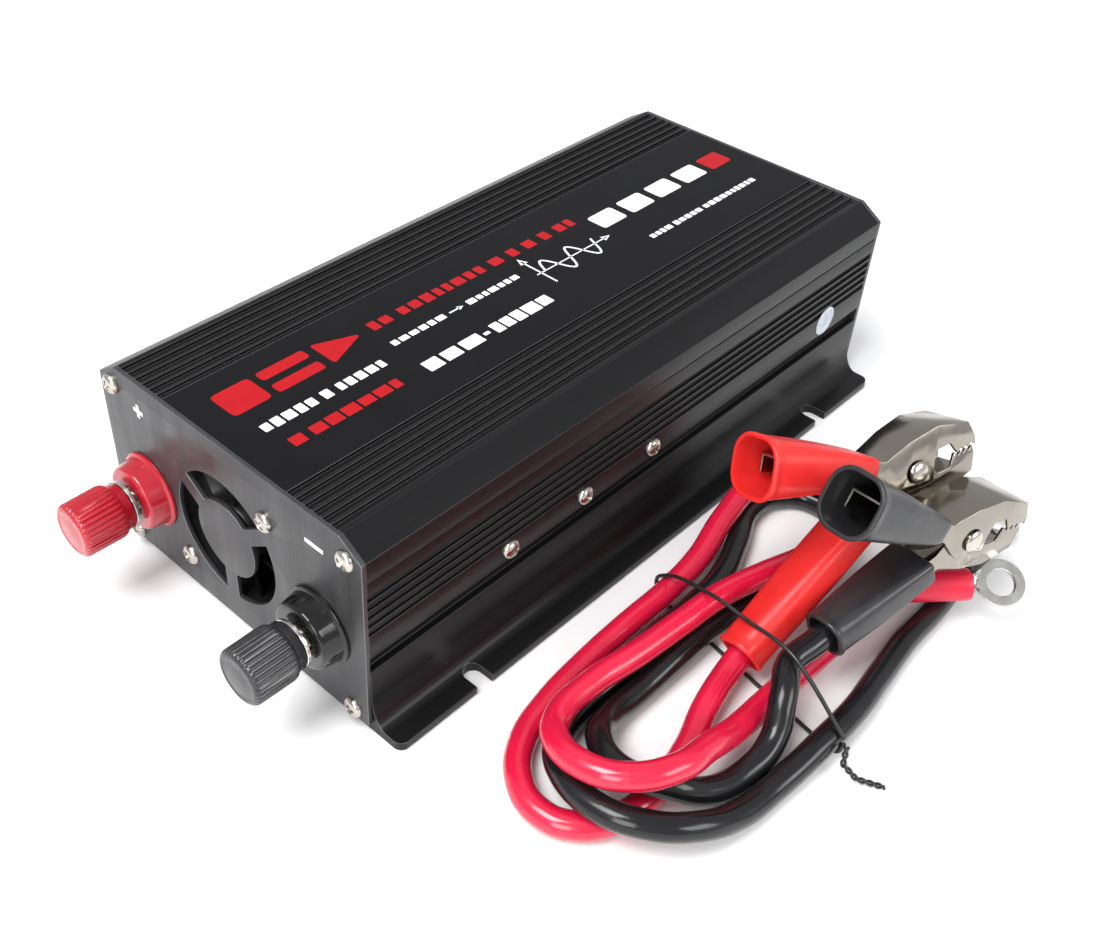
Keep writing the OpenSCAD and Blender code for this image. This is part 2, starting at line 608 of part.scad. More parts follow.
// ---- AC end ----
module at_outlet() translate([half_l, outlet_y, outlet_z]) rotate([90, 0, 90]) children();
module outlet() color([0.04, 0.04, 0.045]) at_outlet() difference() {
    union() {
        translate([-outlet_side / 2, -outlet_side / 2, 0]) cube([outlet_side, outlet_side, outlet_face_t]);
        translate([-outlet_side / 2 + 2.2, -outlet_side / 2 + 2.2, -outlet_depth])
            cube([outlet_side - 4.4, outlet_side - 4.4, outlet_depth + e]);
    }
    translate([0, 0, outlet_face_t - 1]) cylinder(r = 18.5, h = 2, $fn = 96);
    for (p = outlet_pins) translate([p[0] - p[2] / 2, p[1] - p[3] / 2, outlet_face_t - 1 - pin_depth])
        cube([p[2], p[3], pin_depth + 1]);
    for (p = outlet_pins) translate([p[0], p[1], -outlet_depth - 1]) cylinder(r = contact_r + 0.05,
    h = 8, $fn = 24);
}
module outlet_contacts() color([0.85, 0.7, 0.35]) at_outlet() for (p = outlet_pins)
    translate([p[0], p[1], -contact_back]) cylinder(r = contact_r, h = 8, $fn = 24);
module display() color([0.05, 0.03, 0.03]) translate([half_l, display_y, display_z]) {
    block(0, 0.8, -display_w / 2, display_w / 2, -display_h / 2, display_h / 2);
    block(-plate_t - 6, e, -display_w / 2 + 2.2, display_w / 2 - 2.2, -display_h / 2 + 2.2,
    display_h / 2 - 2.2);
}
module at_switch() translate([half_l, switch_y, switch_z]) children();
module switch_bezel() color([0.04, 0.04, 0.04]) at_switch() difference() {
    union() {
        block(0, 2, -switch_w / 2, switch_w / 2, -switch_h / 2, switch_h / 2);
        block(-14, e, -switch_w / 2 + 1.7, switch_w / 2 - 1.7, -switch_h / 2 + 1.7, switch_h / 2 - 1.7);
    }
    block(-8, 3, -rocker_l / 2 - 0.5, rocker_l / 2 + 0.5, -rocker_h / 2 - 0.4, rocker_h / 2 + 0.4);
    translate([-rocker_in, 0, 0]) cylinder(r = rocker_pin_r + running_gap, h = rocker_pin_l + 0.4,
    center = true, $fn = 32);
}
module switch_rocker() color([0.6, 0.05, 0.05]) at_switch() translate([-rocker_in, 0, 0]) {
    rotate([0, 0, rocker_tilt]) difference() {
        block(-3.6, 6.2, -rocker_l / 2 + 0.9, rocker_l / 2 - 0.9, -rocker_h / 2, rocker_h / 2);
        translate([4.3 + rocker_face_r, 0, 0]) cylinder(r = rocker_face_r, h = 30, center = true,
        $fn = 128);
    }
    cylinder(r = rocker_pin_r, h = rocker_pin_l, center = true, $fn = 32);
}
module usb_port() translate([half_l, usb_y, usb_z]) color([0.7, 0.7, 0.72]) {
    difference() {
        block(-usb_depth, 0.6, -usb_w / 2, usb_w / 2, -usb_h / 2, usb_h / 2);
        block(-usb_depth + 1, 1, -usb_w / 2 + 0.35, usb_w / 2 - 0.35, -usb_h / 2 + 0.35, usb_h / 2 - 0.35);
    }
}

// ---- battery clips ----
function on_handle(s, t) = [s * clip_u[0] + t * clip_n[0], s * clip_u[1] + t * clip_n[1]];
jaw_outline = concat([[-6, -5], [5, -5], [6.5, 0.8], [8, 4.2], [13, 4.2], [15, 0.3]],
    [for (i = [0 : 2]) each [[15.6 + i * 2, 0.3], [16.6 + i * 2, 1.5]]],
    [[jaw_tip, 0.3], [jaw_tip + 0.5, 3], [jaw_tip - 1.2, 8.3], [9.5, 11.6], [-1, 10.6]]);
clip_top = [on_handle(handle_start, handle_d), on_handle(handle_end, handle_d)];
clip_under = [on_handle(handle_end, -handle_d), on_handle(handle_start, -handle_d)];
module clip_side() polygon(concat(jaw_outline, clip_top, clip_under));
// The space under the channel's web
module clip_space() polygon(concat([[jaw_tip + 2, 8.3 - sheet_t], [jaw_tip - 1.4, 8.3 - sheet_t],
    [9.5, 11.6 - sheet_t], [-1, 10.6 - sheet_t]], [on_handle(handle_start, handle_d - sheet_t),
    on_handle(handle_end + 1, handle_d - sheet_t),
    [-60, -30], [jaw_tip + 2, -30]]));
module mirrored_plan(p, inset) polygon(concat([for (q = p) [q[0], q[1] - inset]],
    [for (i = [len(p) - 1 : -1 : 0]) [p[i][0], -p[i][1] + inset]]));
module upright(w = 60) rotate([90, 0, 0]) linear_extrude(w, center = true) children();
module plan(p, inset) linear_extrude(80, center = true) mirrored_plan(p, inset);
module clip_half(p, hole_r) difference() {
    intersection() {
        upright() clip_side();
        plan(p, 0);
    }
    intersection() {
        upright(58) clip_space();
        plan([for (q = p) [q[0] * 1.1, q[1]]], sheet_t);
    }
    rotate([90, 0, 0]) cylinder(r = hole_r, h = 40, center = true, $fn = 32);
}
module at_clip(at, turn) translate(at) rotate([0, 0, turn[2]]) rotate([turn[0], 0, 0]) rotate([0,
    turn[1], 0])
    children();
module at_red_clip() at_clip(red_clip_at, red_clip_turn) children();
module at_black_clip() at_clip(black_clip_at, black_clip_turn) children();
module red_clip_upper() color(nickel) at_red_clip() clip_half(upper_plan, rivet_r + running_gap);
module black_clip_upper() color(nickel) at_black_clip() clip_half(upper_plan, rivet_r + running_gap);
module red_clip_lower() color(nickel) at_red_clip() mirror([0, 0, 1]) clip_half(lower_plan, rivet_r);
module black_clip_lower() color(nickel) at_black_clip() mirror([0, 0, 1]) clip_half(lower_plan, rivet_r);
// A rounded rectangle standing across a handle, s along it
module boot_slice(s, half_y, half_t, r) rotate([0, clip_half_angle, 0]) translate([-s, 0, 0]) rotate([0,
    90, 0])
    linear_extrude(slice_t, center = true) hull() for (y = [-1, 1], t = [-1, 1])
        translate([t * (half_t - r), y * (half_y - r)]) circle(r = r, $fn = 24);
module boot(end, half_y, half_t, r) difference() {
    hull() {
        boot_slice(boot_start, 7.9, 4.1, 1.8);
        boot_slice(end, half_y, half_t, r);
    }
    hull() {
        boot_slice(boot_start - 0.3, 7.9 - boot_wall, 4.1 - boot_wall, 0.8);
        boot_slice(end + 0.3, half_y - boot_wall, half_t - boot_wall, r - boot_wall);
    }
}
module upper_boot() boot(upper_boot_end, 9.4, 9.4, 7);
module red_boot_upper() color([0.85, 0.12, 0.12]) at_red_clip() upper_boot();
module black_boot_upper() color([0.06, 0.06, 0.07]) at_black_clip() upper_boot();
module red_boot_lower() color([0.85, 0.12, 0.12]) at_red_clip() mirror([0, 0, 1])
    boot(red_lower_boot_end, 6.6, 6.6, 5);
module black_boot_lower() color([0.06, 0.06, 0.07]) at_black_clip() mirror([0, 0, 1])
    boot(black_lower_boot_end, 6.6, 6.6, 5);
module rivet() rotate([90, 0, 0]) {
    cylinder(r = rivet_r, h = rivet_half * 2, center = true, $fn = 32);
    for (s = [0, 1]) mirror([0, 0, s]) translate([0, 0, rivet_half]) cylinder(r1 = rivet_head_r,
    r2 = 2.2, h = 1.1, $fn = 32);
}
module clip_rivets() color([0.8, 0.79, 0.75]) {
    at_red_clip() rivet();
    at_black_clip() rivet();
}
// A leg leaves the coil at side s and runs back between the handles
module spring_leg(s, turn) translate([0, s * spring_leg_y, 0]) rotate([0, turn, 0])
    along_x(spring_wire_r - 0.05, -spring_leg_l, 0, 0, s * spring_coil_r, 24);
module spring() {
    rotate([90, 0, 0]) rotate_extrude($fn = round_fn) for (i = [0 : spring_turns - 1])
        translate([spring_coil_r, (i - (spring_turns - 1) / 2) * spring_wire_r * 1.8])
        circle(r = spring_wire_r, $fn = 24);
    spring_leg(-1, -spring_lower_turn);
    spring_leg(1, -spring_upper_turn);
}
module clip_springs() color([0.6, 0.6, 0.62]) {
    at_red_clip() spring();
    at_black_clip() spring();
}

// ---- cables and ring terminals ----
module at_ring(at, turn) translate(at) rotate([0, turn[1], turn[2]]) rotate([turn[0], 0, 0]) children();
module ring_terminal() {
    difference() {
        union() {
            translate([0, 0, -ring_t / 2]) cylinder(r = ring_r, h = ring_t, $fn = 64);
            block(-barrel_from - 1, 0, -3.4, 3.4, -ring_t / 2, ring_t / 2);
        }
        cylinder(r = ring_hole_r, h = 10, center = true, $fn = 64);
    }
    along_x(barrel_r, -barrel_to, -barrel_from, 0, 0);
}
module sleeve() difference() {
    along_x(sleeve_r, -sleeve_to, -barrel_from - 0.6, 0, 0);
    along_x(cable_r + 0.05, -sleeve_to - 1, -barrel_to, 0, 0);
    along_x(barrel_r + 0.02, -barrel_to - e, 0, 0, 0);
}
module red_ring_terminal() color([0.75, 0.75, 0.73]) at_ring(red_ring_at, red_ring_turn) ring_terminal();
module black_ring_terminal() color([0.75, 0.75, 0.73]) at_ring(black_ring_at, black_ring_turn)
    ring_terminal();
module red_terminal_sleeve() color([0.8, 0.1, 0.2]) at_ring(red_ring_at, red_ring_turn) sleeve();
module black_terminal_sleeve() color([0.06, 0.06, 0.06]) at_ring(black_ring_at, black_ring_turn) sleeve();
function unit(v) = v / norm(v);
function tangent(p, i) = unit(p[min(i + 1, len(p) - 1)] - p[max(i - 1, 0)]);
function across(t) = unit(cross(t, abs(t[2]) > 0.9 ? [0, 1, 0] : [0, 0, 1]));
function loop_at(p, i, r, n) = let (t = tangent(p, i), a = across(t), b = cross(t, a))
    [for (k = [0 : n - 1]) p[i] + r * (cos(k * 360 / n) * a + sin(k * 360 / n) * b)];
// A round tube swept along the points of a route
module tube(p, r, n) {
    m = len(p);
    polyhedron(points = [for (i = [0 : m - 1]) each loop_at(p, i, r, n)],
        faces = concat([[for (k = [0 : n - 1]) k]], [[for (k = [n - 1 : -1 : 0]) (m - 1) * n + k]],
            [for (i = [0 : m - 2], k = [0 : n - 1])
                [i * n + k, (i + 1) * n + k, (i + 1) * n + (k + 1) % n, i * n + (k + 1) % n]]));
}
module red_cable() color([0.85, 0.08, 0.2]) tube(red_route, cable_r, cable_sides);
module black_cable() color([0.08, 0.08, 0.09]) tube(black_route, cable_r, cable_sides);
module cable_tie() color([0.03, 0.03, 0.03]) {
    tube(tie_route, tie_r, tie_sides);
    tube(tie_tail, tie_r, tie_sides);
}

base_extrusion();
top_shell();
dc_end_plate();
ac_end_plate();
top_label();
side_sticker();
polarity_marks();
dc_plate_screws();
ac_plate_screws();
side_screws();
fan_frame();
fan_rotor();
fan_screws();
red_collar();
black_collar();
terminal_studs();
stud_nuts();
red_washer();
red_knob();
black_washer();
black_knob();
main_board();
board_standoffs();
board_screws();
transformer_cores();
transformer_windings();
input_capacitors();
bus_capacitors();
mosfets();
insulator_strips();
clamp_bars();
filter_choke();
blade_fuses();
control_board();
dc_wires();
ac_wires();
outlet();
outlet_contacts();
display();
switch_bezel();
switch_rocker();
usb_port();
red_cable();
black_cable();
red_ring_terminal();
black_ring_terminal();
red_terminal_sleeve();
black_terminal_sleeve();
red_clip_lower();
red_clip_upper();
red_boot_lower();
red_boot_upper();
black_clip_lower();
black_clip_upper();
black_boot_lower();
black_boot_upper();
clip_rivets();
clip_springs();
cable_tie();
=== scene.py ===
import bpy
import bmesh
import math
import random
from mathutils import Matrix, Vector


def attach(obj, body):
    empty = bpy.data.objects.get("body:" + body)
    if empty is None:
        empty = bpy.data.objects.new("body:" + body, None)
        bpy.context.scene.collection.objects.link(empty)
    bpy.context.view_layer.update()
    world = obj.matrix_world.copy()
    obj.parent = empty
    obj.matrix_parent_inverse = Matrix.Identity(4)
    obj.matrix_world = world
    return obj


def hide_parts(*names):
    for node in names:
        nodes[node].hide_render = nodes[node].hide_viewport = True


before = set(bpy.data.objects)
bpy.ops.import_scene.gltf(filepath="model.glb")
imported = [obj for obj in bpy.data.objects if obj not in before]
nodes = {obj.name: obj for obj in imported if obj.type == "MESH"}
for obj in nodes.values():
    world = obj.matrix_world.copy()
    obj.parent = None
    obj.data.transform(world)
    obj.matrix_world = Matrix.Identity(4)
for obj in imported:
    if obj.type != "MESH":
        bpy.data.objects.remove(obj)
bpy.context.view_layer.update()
random.seed(7)
MM = 0.001
scene = bpy.context.scene

# ---- camera ----
CAM_AT = (-0.27085, -0.23302, 0.29439)
CAM_AXES = ((0.69163, 0.45235, -0.56305), (-0.72162, 0.46540, -0.51251),
            (0.03022, 0.76078, 0.64831))
CAM_LENS, CAM_SENSOR, CAM_SHIFT = 41.506, 36, 0.0625
camera_data = bpy.data.cameras.new("camera")
camera_data.sensor_width = CAM_SENSOR
camera_data.lens = CAM_LENS
camera_data.shift_x = CAM_SHIFT
camera_data.clip_start = 0.01
camera = bpy.data.objects.new("camera", camera_data)
scene.collection.objects.link(camera)
camera.matrix_world = Matrix.Translation(CAM_AT) @ Matrix(CAM_AXES).to_4x4()
scene.camera = camera

# ---- mesh helpers: shapes in millimetres, merge distances in metres, angles in degrees ----
SHARP = 35
MERGE_SKIN, MERGE_SHEET, MERGE_CAD = 1e-7, 2e-7, 2e-6


def link(obj):
    scene.collection.objects.link(obj)
    return obj


def finish_mesh(obj, material=None, angle=SHARP):
    """Shades the mesh smooth up to an angle, and gives it one material."""
    for p in obj.data.polygons:
        p.use_smooth = True
    obj.data.set_sharp_from_angle(angle=math.radians(angle))
    if material:
        obj.data.materials.clear()
        obj.data.materials.append(material)
    return obj


def clean(mesh, merge, face_out=False, flat=None):
    """Merges close points; turns faces outwards and joins faces flat within an angle if asked."""
    bm = bmesh.new()
    bm.from_mesh(mesh)
    bmesh.ops.remove_doubles(bm, verts=bm.verts, dist=merge)
    if flat:
        bmesh.ops.dissolve_limit(bm, angle_limit=math.radians(flat), verts=bm.verts, edges=bm.edges)
    if face_out:
        bmesh.ops.recalc_face_normals(bm, faces=bm.faces)
    bm.to_mesh(mesh)
    bm.free()


def mesh_object(name, verts, faces, material=None, angle=SHARP):
    mesh = bpy.data.meshes.new(name)
    mesh.from_pydata([Vector(v) * MM for v in verts], [], faces)
    obj = link(bpy.data.objects.new(name, mesh))
    clean(mesh, MERGE_SKIN, face_out=True)
    return finish_mesh(obj, material, angle)


def prism_faces(n):
    """The two ends and the sides between two rings of n points."""
    sides = [(i, n + i, n + (i + 1) % n, (i + 1) % n) for i in range(n)]
    return [tuple(range(n)), tuple(range(2 * n - 1, n - 1, -1))] + sides


def ring_faces(rings, steps):
    """The sides between successive rings of points."""
    faces = []
    for i in range(rings - 1):
        for k in range(steps):
            j = (k + 1) % steps
            faces.append((i * steps + k, i * steps + j, (i + 1) * steps + j, (i + 1) * steps + k))
    return faces


def sheet(name, loops, material):
    """Flat faces, one for each loop of points."""
    verts, faces = [], []
    for loop in loops:
        faces.append(tuple(range(len(verts), len(verts) + len(loop))))
        verts += loop
    return mesh_object(name, verts, faces, material)


def box(name, x, y, z, material):
    """A box between the two values of each of x, y and z."""
    base = [(x[0], y[0]), (x[1], y[0]), (x[1], y[1]), (x[0], y[1])]
    faces = [(0, 3, 2, 1), (4, 5, 6, 7), (0, 1, 5, 4), (1, 2, 6, 5), (2, 3, 7, 6), (3, 0, 4, 7)]
    return mesh_object(name, [(a, b, c) for c in z for a, b in base], faces, material)


def applied(obj):
    """The object with its modifiers applied, a curve as a mesh of the same name."""
    graph = bpy.context.evaluated_depsgraph_get()
    mesh = bpy.data.meshes.new_from_object(obj.evaluated_get(graph))
    obj.modifiers.clear()
    if obj.type == "CURVE":
        new = link(bpy.data.objects.new(obj.name + "_m", mesh))
        new.matrix_world = obj.matrix_world
        name = obj.name
        bpy.data.objects.remove(obj)
        new.name = name
        return new
    obj.data = mesh
    return obj


def cut(obj, tool):
    """Takes the tool's volume out of the object and removes the tool."""
    m = obj.modifiers.new("cut", "BOOLEAN")
    m.operation = "DIFFERENCE"
    m.object = tool
    m.solver = "EXACT"
    applied(obj)
    bpy.data.objects.remove(tool)


def bevel(obj, width, segments, angle):
    m = obj.modifiers.new("bevel", "BEVEL")
    m.width = width * MM
    m.segments = segments
    m.limit_method = "ANGLE"
    m.angle_limit = math.radians(angle)
    m.use_clamp_overlap = True
    return applied(obj)


def move(obj, matrix):
    """Moves the mesh by a matrix whose translation is in millimetres."""
    m = matrix.copy()
    m.translation = matrix.translation * MM
    obj.data.transform(m)
    return obj


def join(name, objs):
    """One object out of several, each with its own materials."""
    bm = bmesh.new()
    mats = []
    for o in objs:
        base = len(mats)
        mats.extend(o.data.materials)
        start = len(bm.faces)
        bm.from_mesh(o.data)
        bm.faces.ensure_lookup_table()
        for f in bm.faces[start:]:
            f.material_index += base
    mesh = bpy.data.meshes.new(name)
    bm.to_mesh(mesh)
    bm.free()
    for m in mats:
        mesh.materials.append(m)
    obj = link(bpy.data.objects.new(name, mesh))
    for o in objs:
        bpy.data.objects.remove(o)
    return finish_mesh(obj)


NEARLY_STRAIGHT = math.radians(88)
LONGEST_ROUNDING = 0.45


def fillet(points, r, n):
    """A closed 2-D outline with its corners rounded, which share out short sides."""
    out = []
    count = len(points)
    for i in range(count):
        a, b, c = (Vector(points[(i + k) % count]) for k in (-1, 0, 1))
        u, v = (a - b), (c - b)
        lu, lv = u.length, v.length
        u.normalize()
        v.normalize()
        half = u.angle(v) / 2
        if half > NEARLY_STRAIGHT:
            out.append(tuple(b))
            continue
        d = min(r / math.tan(half), LONGEST_ROUNDING * lu, LONGEST_ROUNDING * lv)
        p, q = b + u * d, b + v * d
        for k in range(n + 1):
            t = k / n
            out.append(tuple((1 - t) ** 2 * p + 2 * t * (1 - t) * b + t * t * q))
    return out


def extrude_x(name, outline, x0, x1, material, angle):
    """A (y, z) outline drawn out from x0 to x1."""
    verts = [(x0, y, z) for y, z in outline] + [(x1, y, z) for y, z in outline]
    return mesh_object(name, verts, prism_faces(len(outline)), material, angle)


def lathe(name, profile, material, steps=64, matrix=None, radial=None, angle=SHARP):
    """Turns (r, z) points about local Z. radial(theta, i) scales the radius of profile point i."""
    verts = []
    for i, (r, z) in enumerate(profile):
        for k in range(steps):
            a = 2 * math.pi * k / steps
            rr = r * (radial(a, i) if radial else 1)
            verts.append((rr * math.cos(a), rr * math.sin(a), z))
    faces = ring_faces(len(profile), steps)
    if profile[0] != profile[-1]:
        for i, rev in ((0, True), (len(profile) - 1, False)):
            ring = [i * steps + k for k in range(steps)]
            if profile[i][0] > 1e-6:
                faces.append(tuple(reversed(ring)) if rev else tuple(ring))
    obj = mesh_object(name, verts, faces, material, angle)
    return move(obj, matrix) if matrix else obj


def plate(name, outlines, x0, x1, edge, material):
    """A sheet across X with softened edges; outlines are (y, z) loops, its outside first."""
    curve = bpy.data.curves.new(name, "CURVE")
    curve.dimensions = "2D"
    curve.fill_mode = "BOTH"
    t = (x1 - x0) / 2
    curve.extrude = (t - edge) * MM
    curve.bevel_depth = edge * MM
    curve.bevel_resolution = 2
    curve.offset = -edge * MM
    for loop in outlines:
        s = curve.splines.new("POLY")
        s.points.add(len(loop) - 1)
        for p, (y, z) in zip(s.points, loop):
            p.co = (y * MM, z * MM, 0, 1)
        s.use_cyclic_u = True
    obj = applied(link(bpy.data.objects.new(name, curve)))
    obj.name = name
    across = ((0, 0, 1, (x0 + t) * MM), (1, 0, 0, 0), (0, 1, 0, 0), (0, 0, 0, 1))
    obj.data.transform(Matrix(across))
    clean(obj.data, MERGE_SHEET)
    return finish_mesh(obj, material, 40)


def copy_node(node, width, material, segments=2, angle=30):
    """A copy of a CAD node's shape with softened edges, which stands for the node."""
    obj = link(bpy.data.objects.new(node + "_look", nodes[node].data.copy()))
    clean(obj.data, MERGE_CAD, flat=1.5)
    bevel(obj, width, segments, angle)
    return finish_mesh(obj, material)


def settle(obj, body, slot, *replaced):
    """Rides on a body and stands for CAD nodes; the slot is not used."""
    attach(obj, body)
    if replaced:
        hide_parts(*replaced)
    return obj


def turned(at, **turns):
    """A place in millimetres, then turns in degrees about its own axes, in the order given."""
    matrix = Matrix.Translation(at)
    for axis, angle in turns.items():
        matrix = matrix @ Matrix.Rotation(math.radians(angle), 4, axis)
    return matrix


# ---- materials ----
# How far the bevelled normal must turn from the true normal before the painted edge highlight
# starts, and where it is full.
HIGHLIGHT_START, HIGHLIGHT_FULL = 0.995, 0.9


def shader(name, color, rough=0.5, metal=0.0, coat=0.0, specular=None, vary=0.12, vary_scale=60.0,
           rough_vary=0.08, bump=0.0, bump_scale=400.0, stretch=(1, 1, 1), subsurface=0.0,
           second=None, second_scale=25.0, edge=None, edge_width=0.0003):
    """A surface whose colour and roughness vary a little; edge is the colour of a painted highlight
    along its convex edges.
    """
    mat = bpy.data.materials.new(name)
    mat.use_nodes = True
    tree = mat.node_tree
    bsdf = tree.nodes["Principled BSDF"]
    bsdf.inputs["Base Color"].default_value = (*color, 1)
    bsdf.inputs["Metallic"].default_value = metal
    bsdf.inputs["Coat Weight"].default_value = coat
    bsdf.inputs["Coat Roughness"].default_value = 0.08
    if specular is not None:
        bsdf.inputs["Specular IOR Level"].default_value = specular
    if subsurface:
        bsdf.inputs["Subsurface Weight"].default_value = subsurface
        bsdf.inputs["Subsurface Scale"].default_value = 0.002
        bsdf.inputs["Subsurface Radius"].default_value = (1.0, 0.25, 0.2)
    where = tree.nodes.new("ShaderNodeTexCoord")
    scale = tree.nodes.new("ShaderNodeMapping")
    scale.inputs["Scale"].default_value = stretch
    tree.links.new(where.outputs["Object"], scale.inputs["Vector"])

    def noise(size, detail=5.0):
        n = tree.nodes.new("ShaderNodeTexNoise")
        n.inputs["Scale"].default_value = size
        n.inputs["Detail"].default_value = detail
        tree.links.new(scale.outputs["Vector"], n.inputs["Vector"])
        return n.outputs["Fac"]

    def remap(value, low, high, start=0.3, stop=0.7):
        r = tree.nodes.new("ShaderNodeMapRange")
        r.inputs["From Min"].default_value = start
        r.inputs["From Max"].default_value = stop
        r.inputs["To Min"].default_value = low
        r.inputs["To Max"].default_value = high
        tree.links.new(value, r.inputs["Value"])
        return r.outputs["Result"]

    def mixed(factor, a, b):
        """a where the factor is 0 and b where it is 1, each of them a colour or a socket."""
        mix = tree.nodes.new("ShaderNodeMix")
        mix.data_type = "RGBA"
        tree.links.new(factor, mix.inputs["Factor"])
        for key, value in (("A", a), ("B", b)):
            if isinstance(value, tuple):
                mix.inputs[key].default_value = (*value, 1)
            else:
                tree.links.new(value, mix.inputs[key])
        return mix.outputs["Result"]

    darker = tuple(c * (1 - vary) for c in color)
    lighter = tuple(min(1.0, c * (1 + vary)) for c in color)
    result = mixed(remap(noise(vary_scale), 0.0, 1.0), darker, lighter)
    if second:
        result = mixed(remap(noise(second_scale, 3.0), 0.0, 1.0), result, second)
    # Painted highlight: convex edges, found where the Bevel node's normal turns away from the true
    # normal, get the lighter edge colour.
    if edge:
        round_edge = tree.nodes.new("ShaderNodeBevel")
        round_edge.samples = 4
        round_edge.inputs["Radius"].default_value = edge_width
        geometry = tree.nodes.new("ShaderNodeNewGeometry")
        dot = tree.nodes.new("ShaderNodeVectorMath")
        dot.operation = "DOT_PRODUCT"
        tree.links.new(round_edge.outputs["Normal"], dot.inputs[0])
        tree.links.new(geometry.outputs["Normal"], dot.inputs[1])
        edge_highlight_mask = remap(dot.outputs["Value"], 0.0, 1.0, HIGHLIGHT_START, HIGHLIGHT_FULL)
        result = mixed(edge_highlight_mask, result, edge)
    tree.links.new(result, bsdf.inputs["Base Color"])
    low, high = max(0.02, rough - rough_vary), min(1.0, rough + rough_vary)
    tree.links.new(remap(noise(vary_scale * 1.7), low, high), bsdf.inputs["Roughness"])
    if bump:
        b = tree.nodes.new("ShaderNodeBump")
        b.inputs["Strength"].default_value = bump
        b.inputs["Distance"].default_value = 0.0002
        tree.links.new(noise(bump_scale, 4.0), b.inputs["Height"])
        tree.links.new(b.outputs["Normal"], bsdf.inputs["Normal"])
    return mat


# The edge colour on case_black is a painted highlight along the ridges of the grooves and the case
# edges.
case_black = shader(
    "case_black", (0.014, 0.014, 0.015), 0.36, metal=0.6, specular=0.4, vary=0.3, vary_scale=45,
    rough_vary=0.07, bump=0.25, bump_scale=700, stretch=(0.08, 1, 1), edge=(0.22, 0.22, 0.225))
# The edge colour on plate_grey is a painted highlight along the edges of the plates and the fan
# guard openings.
plate_grey = shader(
    "plate_grey", (0.085, 0.085, 0.088), 0.4, metal=0.7, specular=0.3, vary_scale=120, bump=0.3,
    bump_scale=900, stretch=(1, 1, 0.06), edge=(0.5, 0.5, 0.51), edge_width=0.00025)
label_black = shader(
    "label_black", (0.006, 0.006, 0.007), 0.42, specular=0.12, vary=0.1, vary_scale=90,
    rough_vary=0.015, bump=0.08, bump_scale=1500)
ink_red = shader(
    "ink_red", (0.42, 0.005, 0.01), 0.4, specular=0.2, vary=0.06, vary_scale=200, bump=0.1,
    bump_scale=1500)
ink_white = shader(
    "ink_white", (0.8, 0.8, 0.8), 0.4, specular=0.2, vary=0.05, vary_scale=200, bump=0.1,
    bump_scale=1500)
silver_paper = shader(
    "silver_paper", (0.62, 0.64, 0.66), 0.32, metal=0.5, vary=0.1, vary_scale=300,
    second=(0.35, 0.42, 0.5), second_scale=260, bump=0.1)
nickel = shader(
    "nickel", (0.54, 0.51, 0.46), 0.24, metal=1.0, vary=0.1, vary_scale=150, bump=0.12,
    bump_scale=900)
moulded = shader(
    "moulded", (0.01, 0.01, 0.011), 0.46, specular=0.3, vary=0.2, vary_scale=200, bump=0.25,
    bump_scale=1800)
fan_black = shader(
    "fan_black", (0.008, 0.008, 0.009), 0.36, specular=0.35, vary=0.2, vary_scale=160, bump=0.15,
    bump_scale=1200)
red_gloss = shader(
    "red_gloss", (0.42, 0.008, 0.02), 0.2, coat=0.4, vary_scale=120, subsurface=0.2, bump=0.06,
    bump_scale=900)
black_gloss = shader(
    "black_gloss", (0.006, 0.006, 0.006), 0.14, coat=0.35, specular=0.3, vary=0.2, vary_scale=150,
    bump=0.05, bump_scale=900)
# The edge colour on knob_black is a painted highlight along the ridges of the flutes.
knob_black = shader(
    "knob_black", (0.025, 0.025, 0.027), 0.26, vary=0.2, vary_scale=220, bump=0.2, bump_scale=1600,
    edge=(0.55, 0.55, 0.56))
stud_brass = shader(
    "stud_brass", (0.42, 0.4, 0.36), 0.3, metal=1.0, vary=0.15, vary_scale=200, bump=0.1)
zinc = shader("zinc", (0.6, 0.6, 0.58), 0.28, metal=1.0, vary_scale=220, bump=0.15, bump_scale=900)
washer_mat = shader(
    "washer_mat", (0.7, 0.69, 0.65), 0.24, metal=1.0, vary=0.08, vary_scale=200, bump=0.08)
cable_red = shader(
    "cable_red", (0.62, 0.008, 0.045), 0.24, coat=0.35, vary=0.08, vary_scale=90, subsurface=0.12,
    bump=0.12, bump_scale=700)
cable_black = shader(
    "cable_black", (0.008, 0.008, 0.009), 0.22, coat=0.25, specular=0.3, vary=0.2, vary_scale=90,
    bump=0.12, bump_scale=700)
sleeve_red = shader(
    "sleeve_red", (0.6, 0.01, 0.04), 0.42, vary=0.08, vary_scale=120, subsurface=0.15, bump=0.2,
    bump_scale=900)
sleeve_black = shader(
    "sleeve_black", (0.01, 0.01, 0.011), 0.42, specular=0.3, vary=0.15, vary_scale=120, bump=0.2,
    bump_scale=900)
boot_red = shader(
    "boot_red", (0.7, 0.022, 0.02), 0.38, vary=0.08, vary_scale=80, subsurface=0.2, bump=0.16,
    bump_scale=600)
boot_black = shader(
    "boot_black", (0.022, 0.022, 0.024), 0.34, vary=0.2, vary_scale=80, bump=0.16, bump_scale=600)
clip_metal = shader(
    "clip_metal", (0.4, 0.375, 0.33), 0.2, metal=1.0, vary=0.14, rough_vary=0.07, bump=0.16,
    bump_scale=500, second=(0.3, 0.27, 0.23), second_scale=40)
rivet_metal = shader(
    "rivet_metal", (0.6, 0.57, 0.5), 0.22, metal=1.0, vary=0.1, vary_scale=200, bump=0.1)
spring_metal = shader(
    "spring_metal", (0.45, 0.45, 0.45), 0.25, metal=1.0, vary=0.1, vary_scale=200, bump=0.1)
terminal_metal = shader(
    "terminal_metal", (0.62, 0.61, 0.58), 0.25, metal=1.0, vary_scale=160, bump=0.2, bump_scale=500)
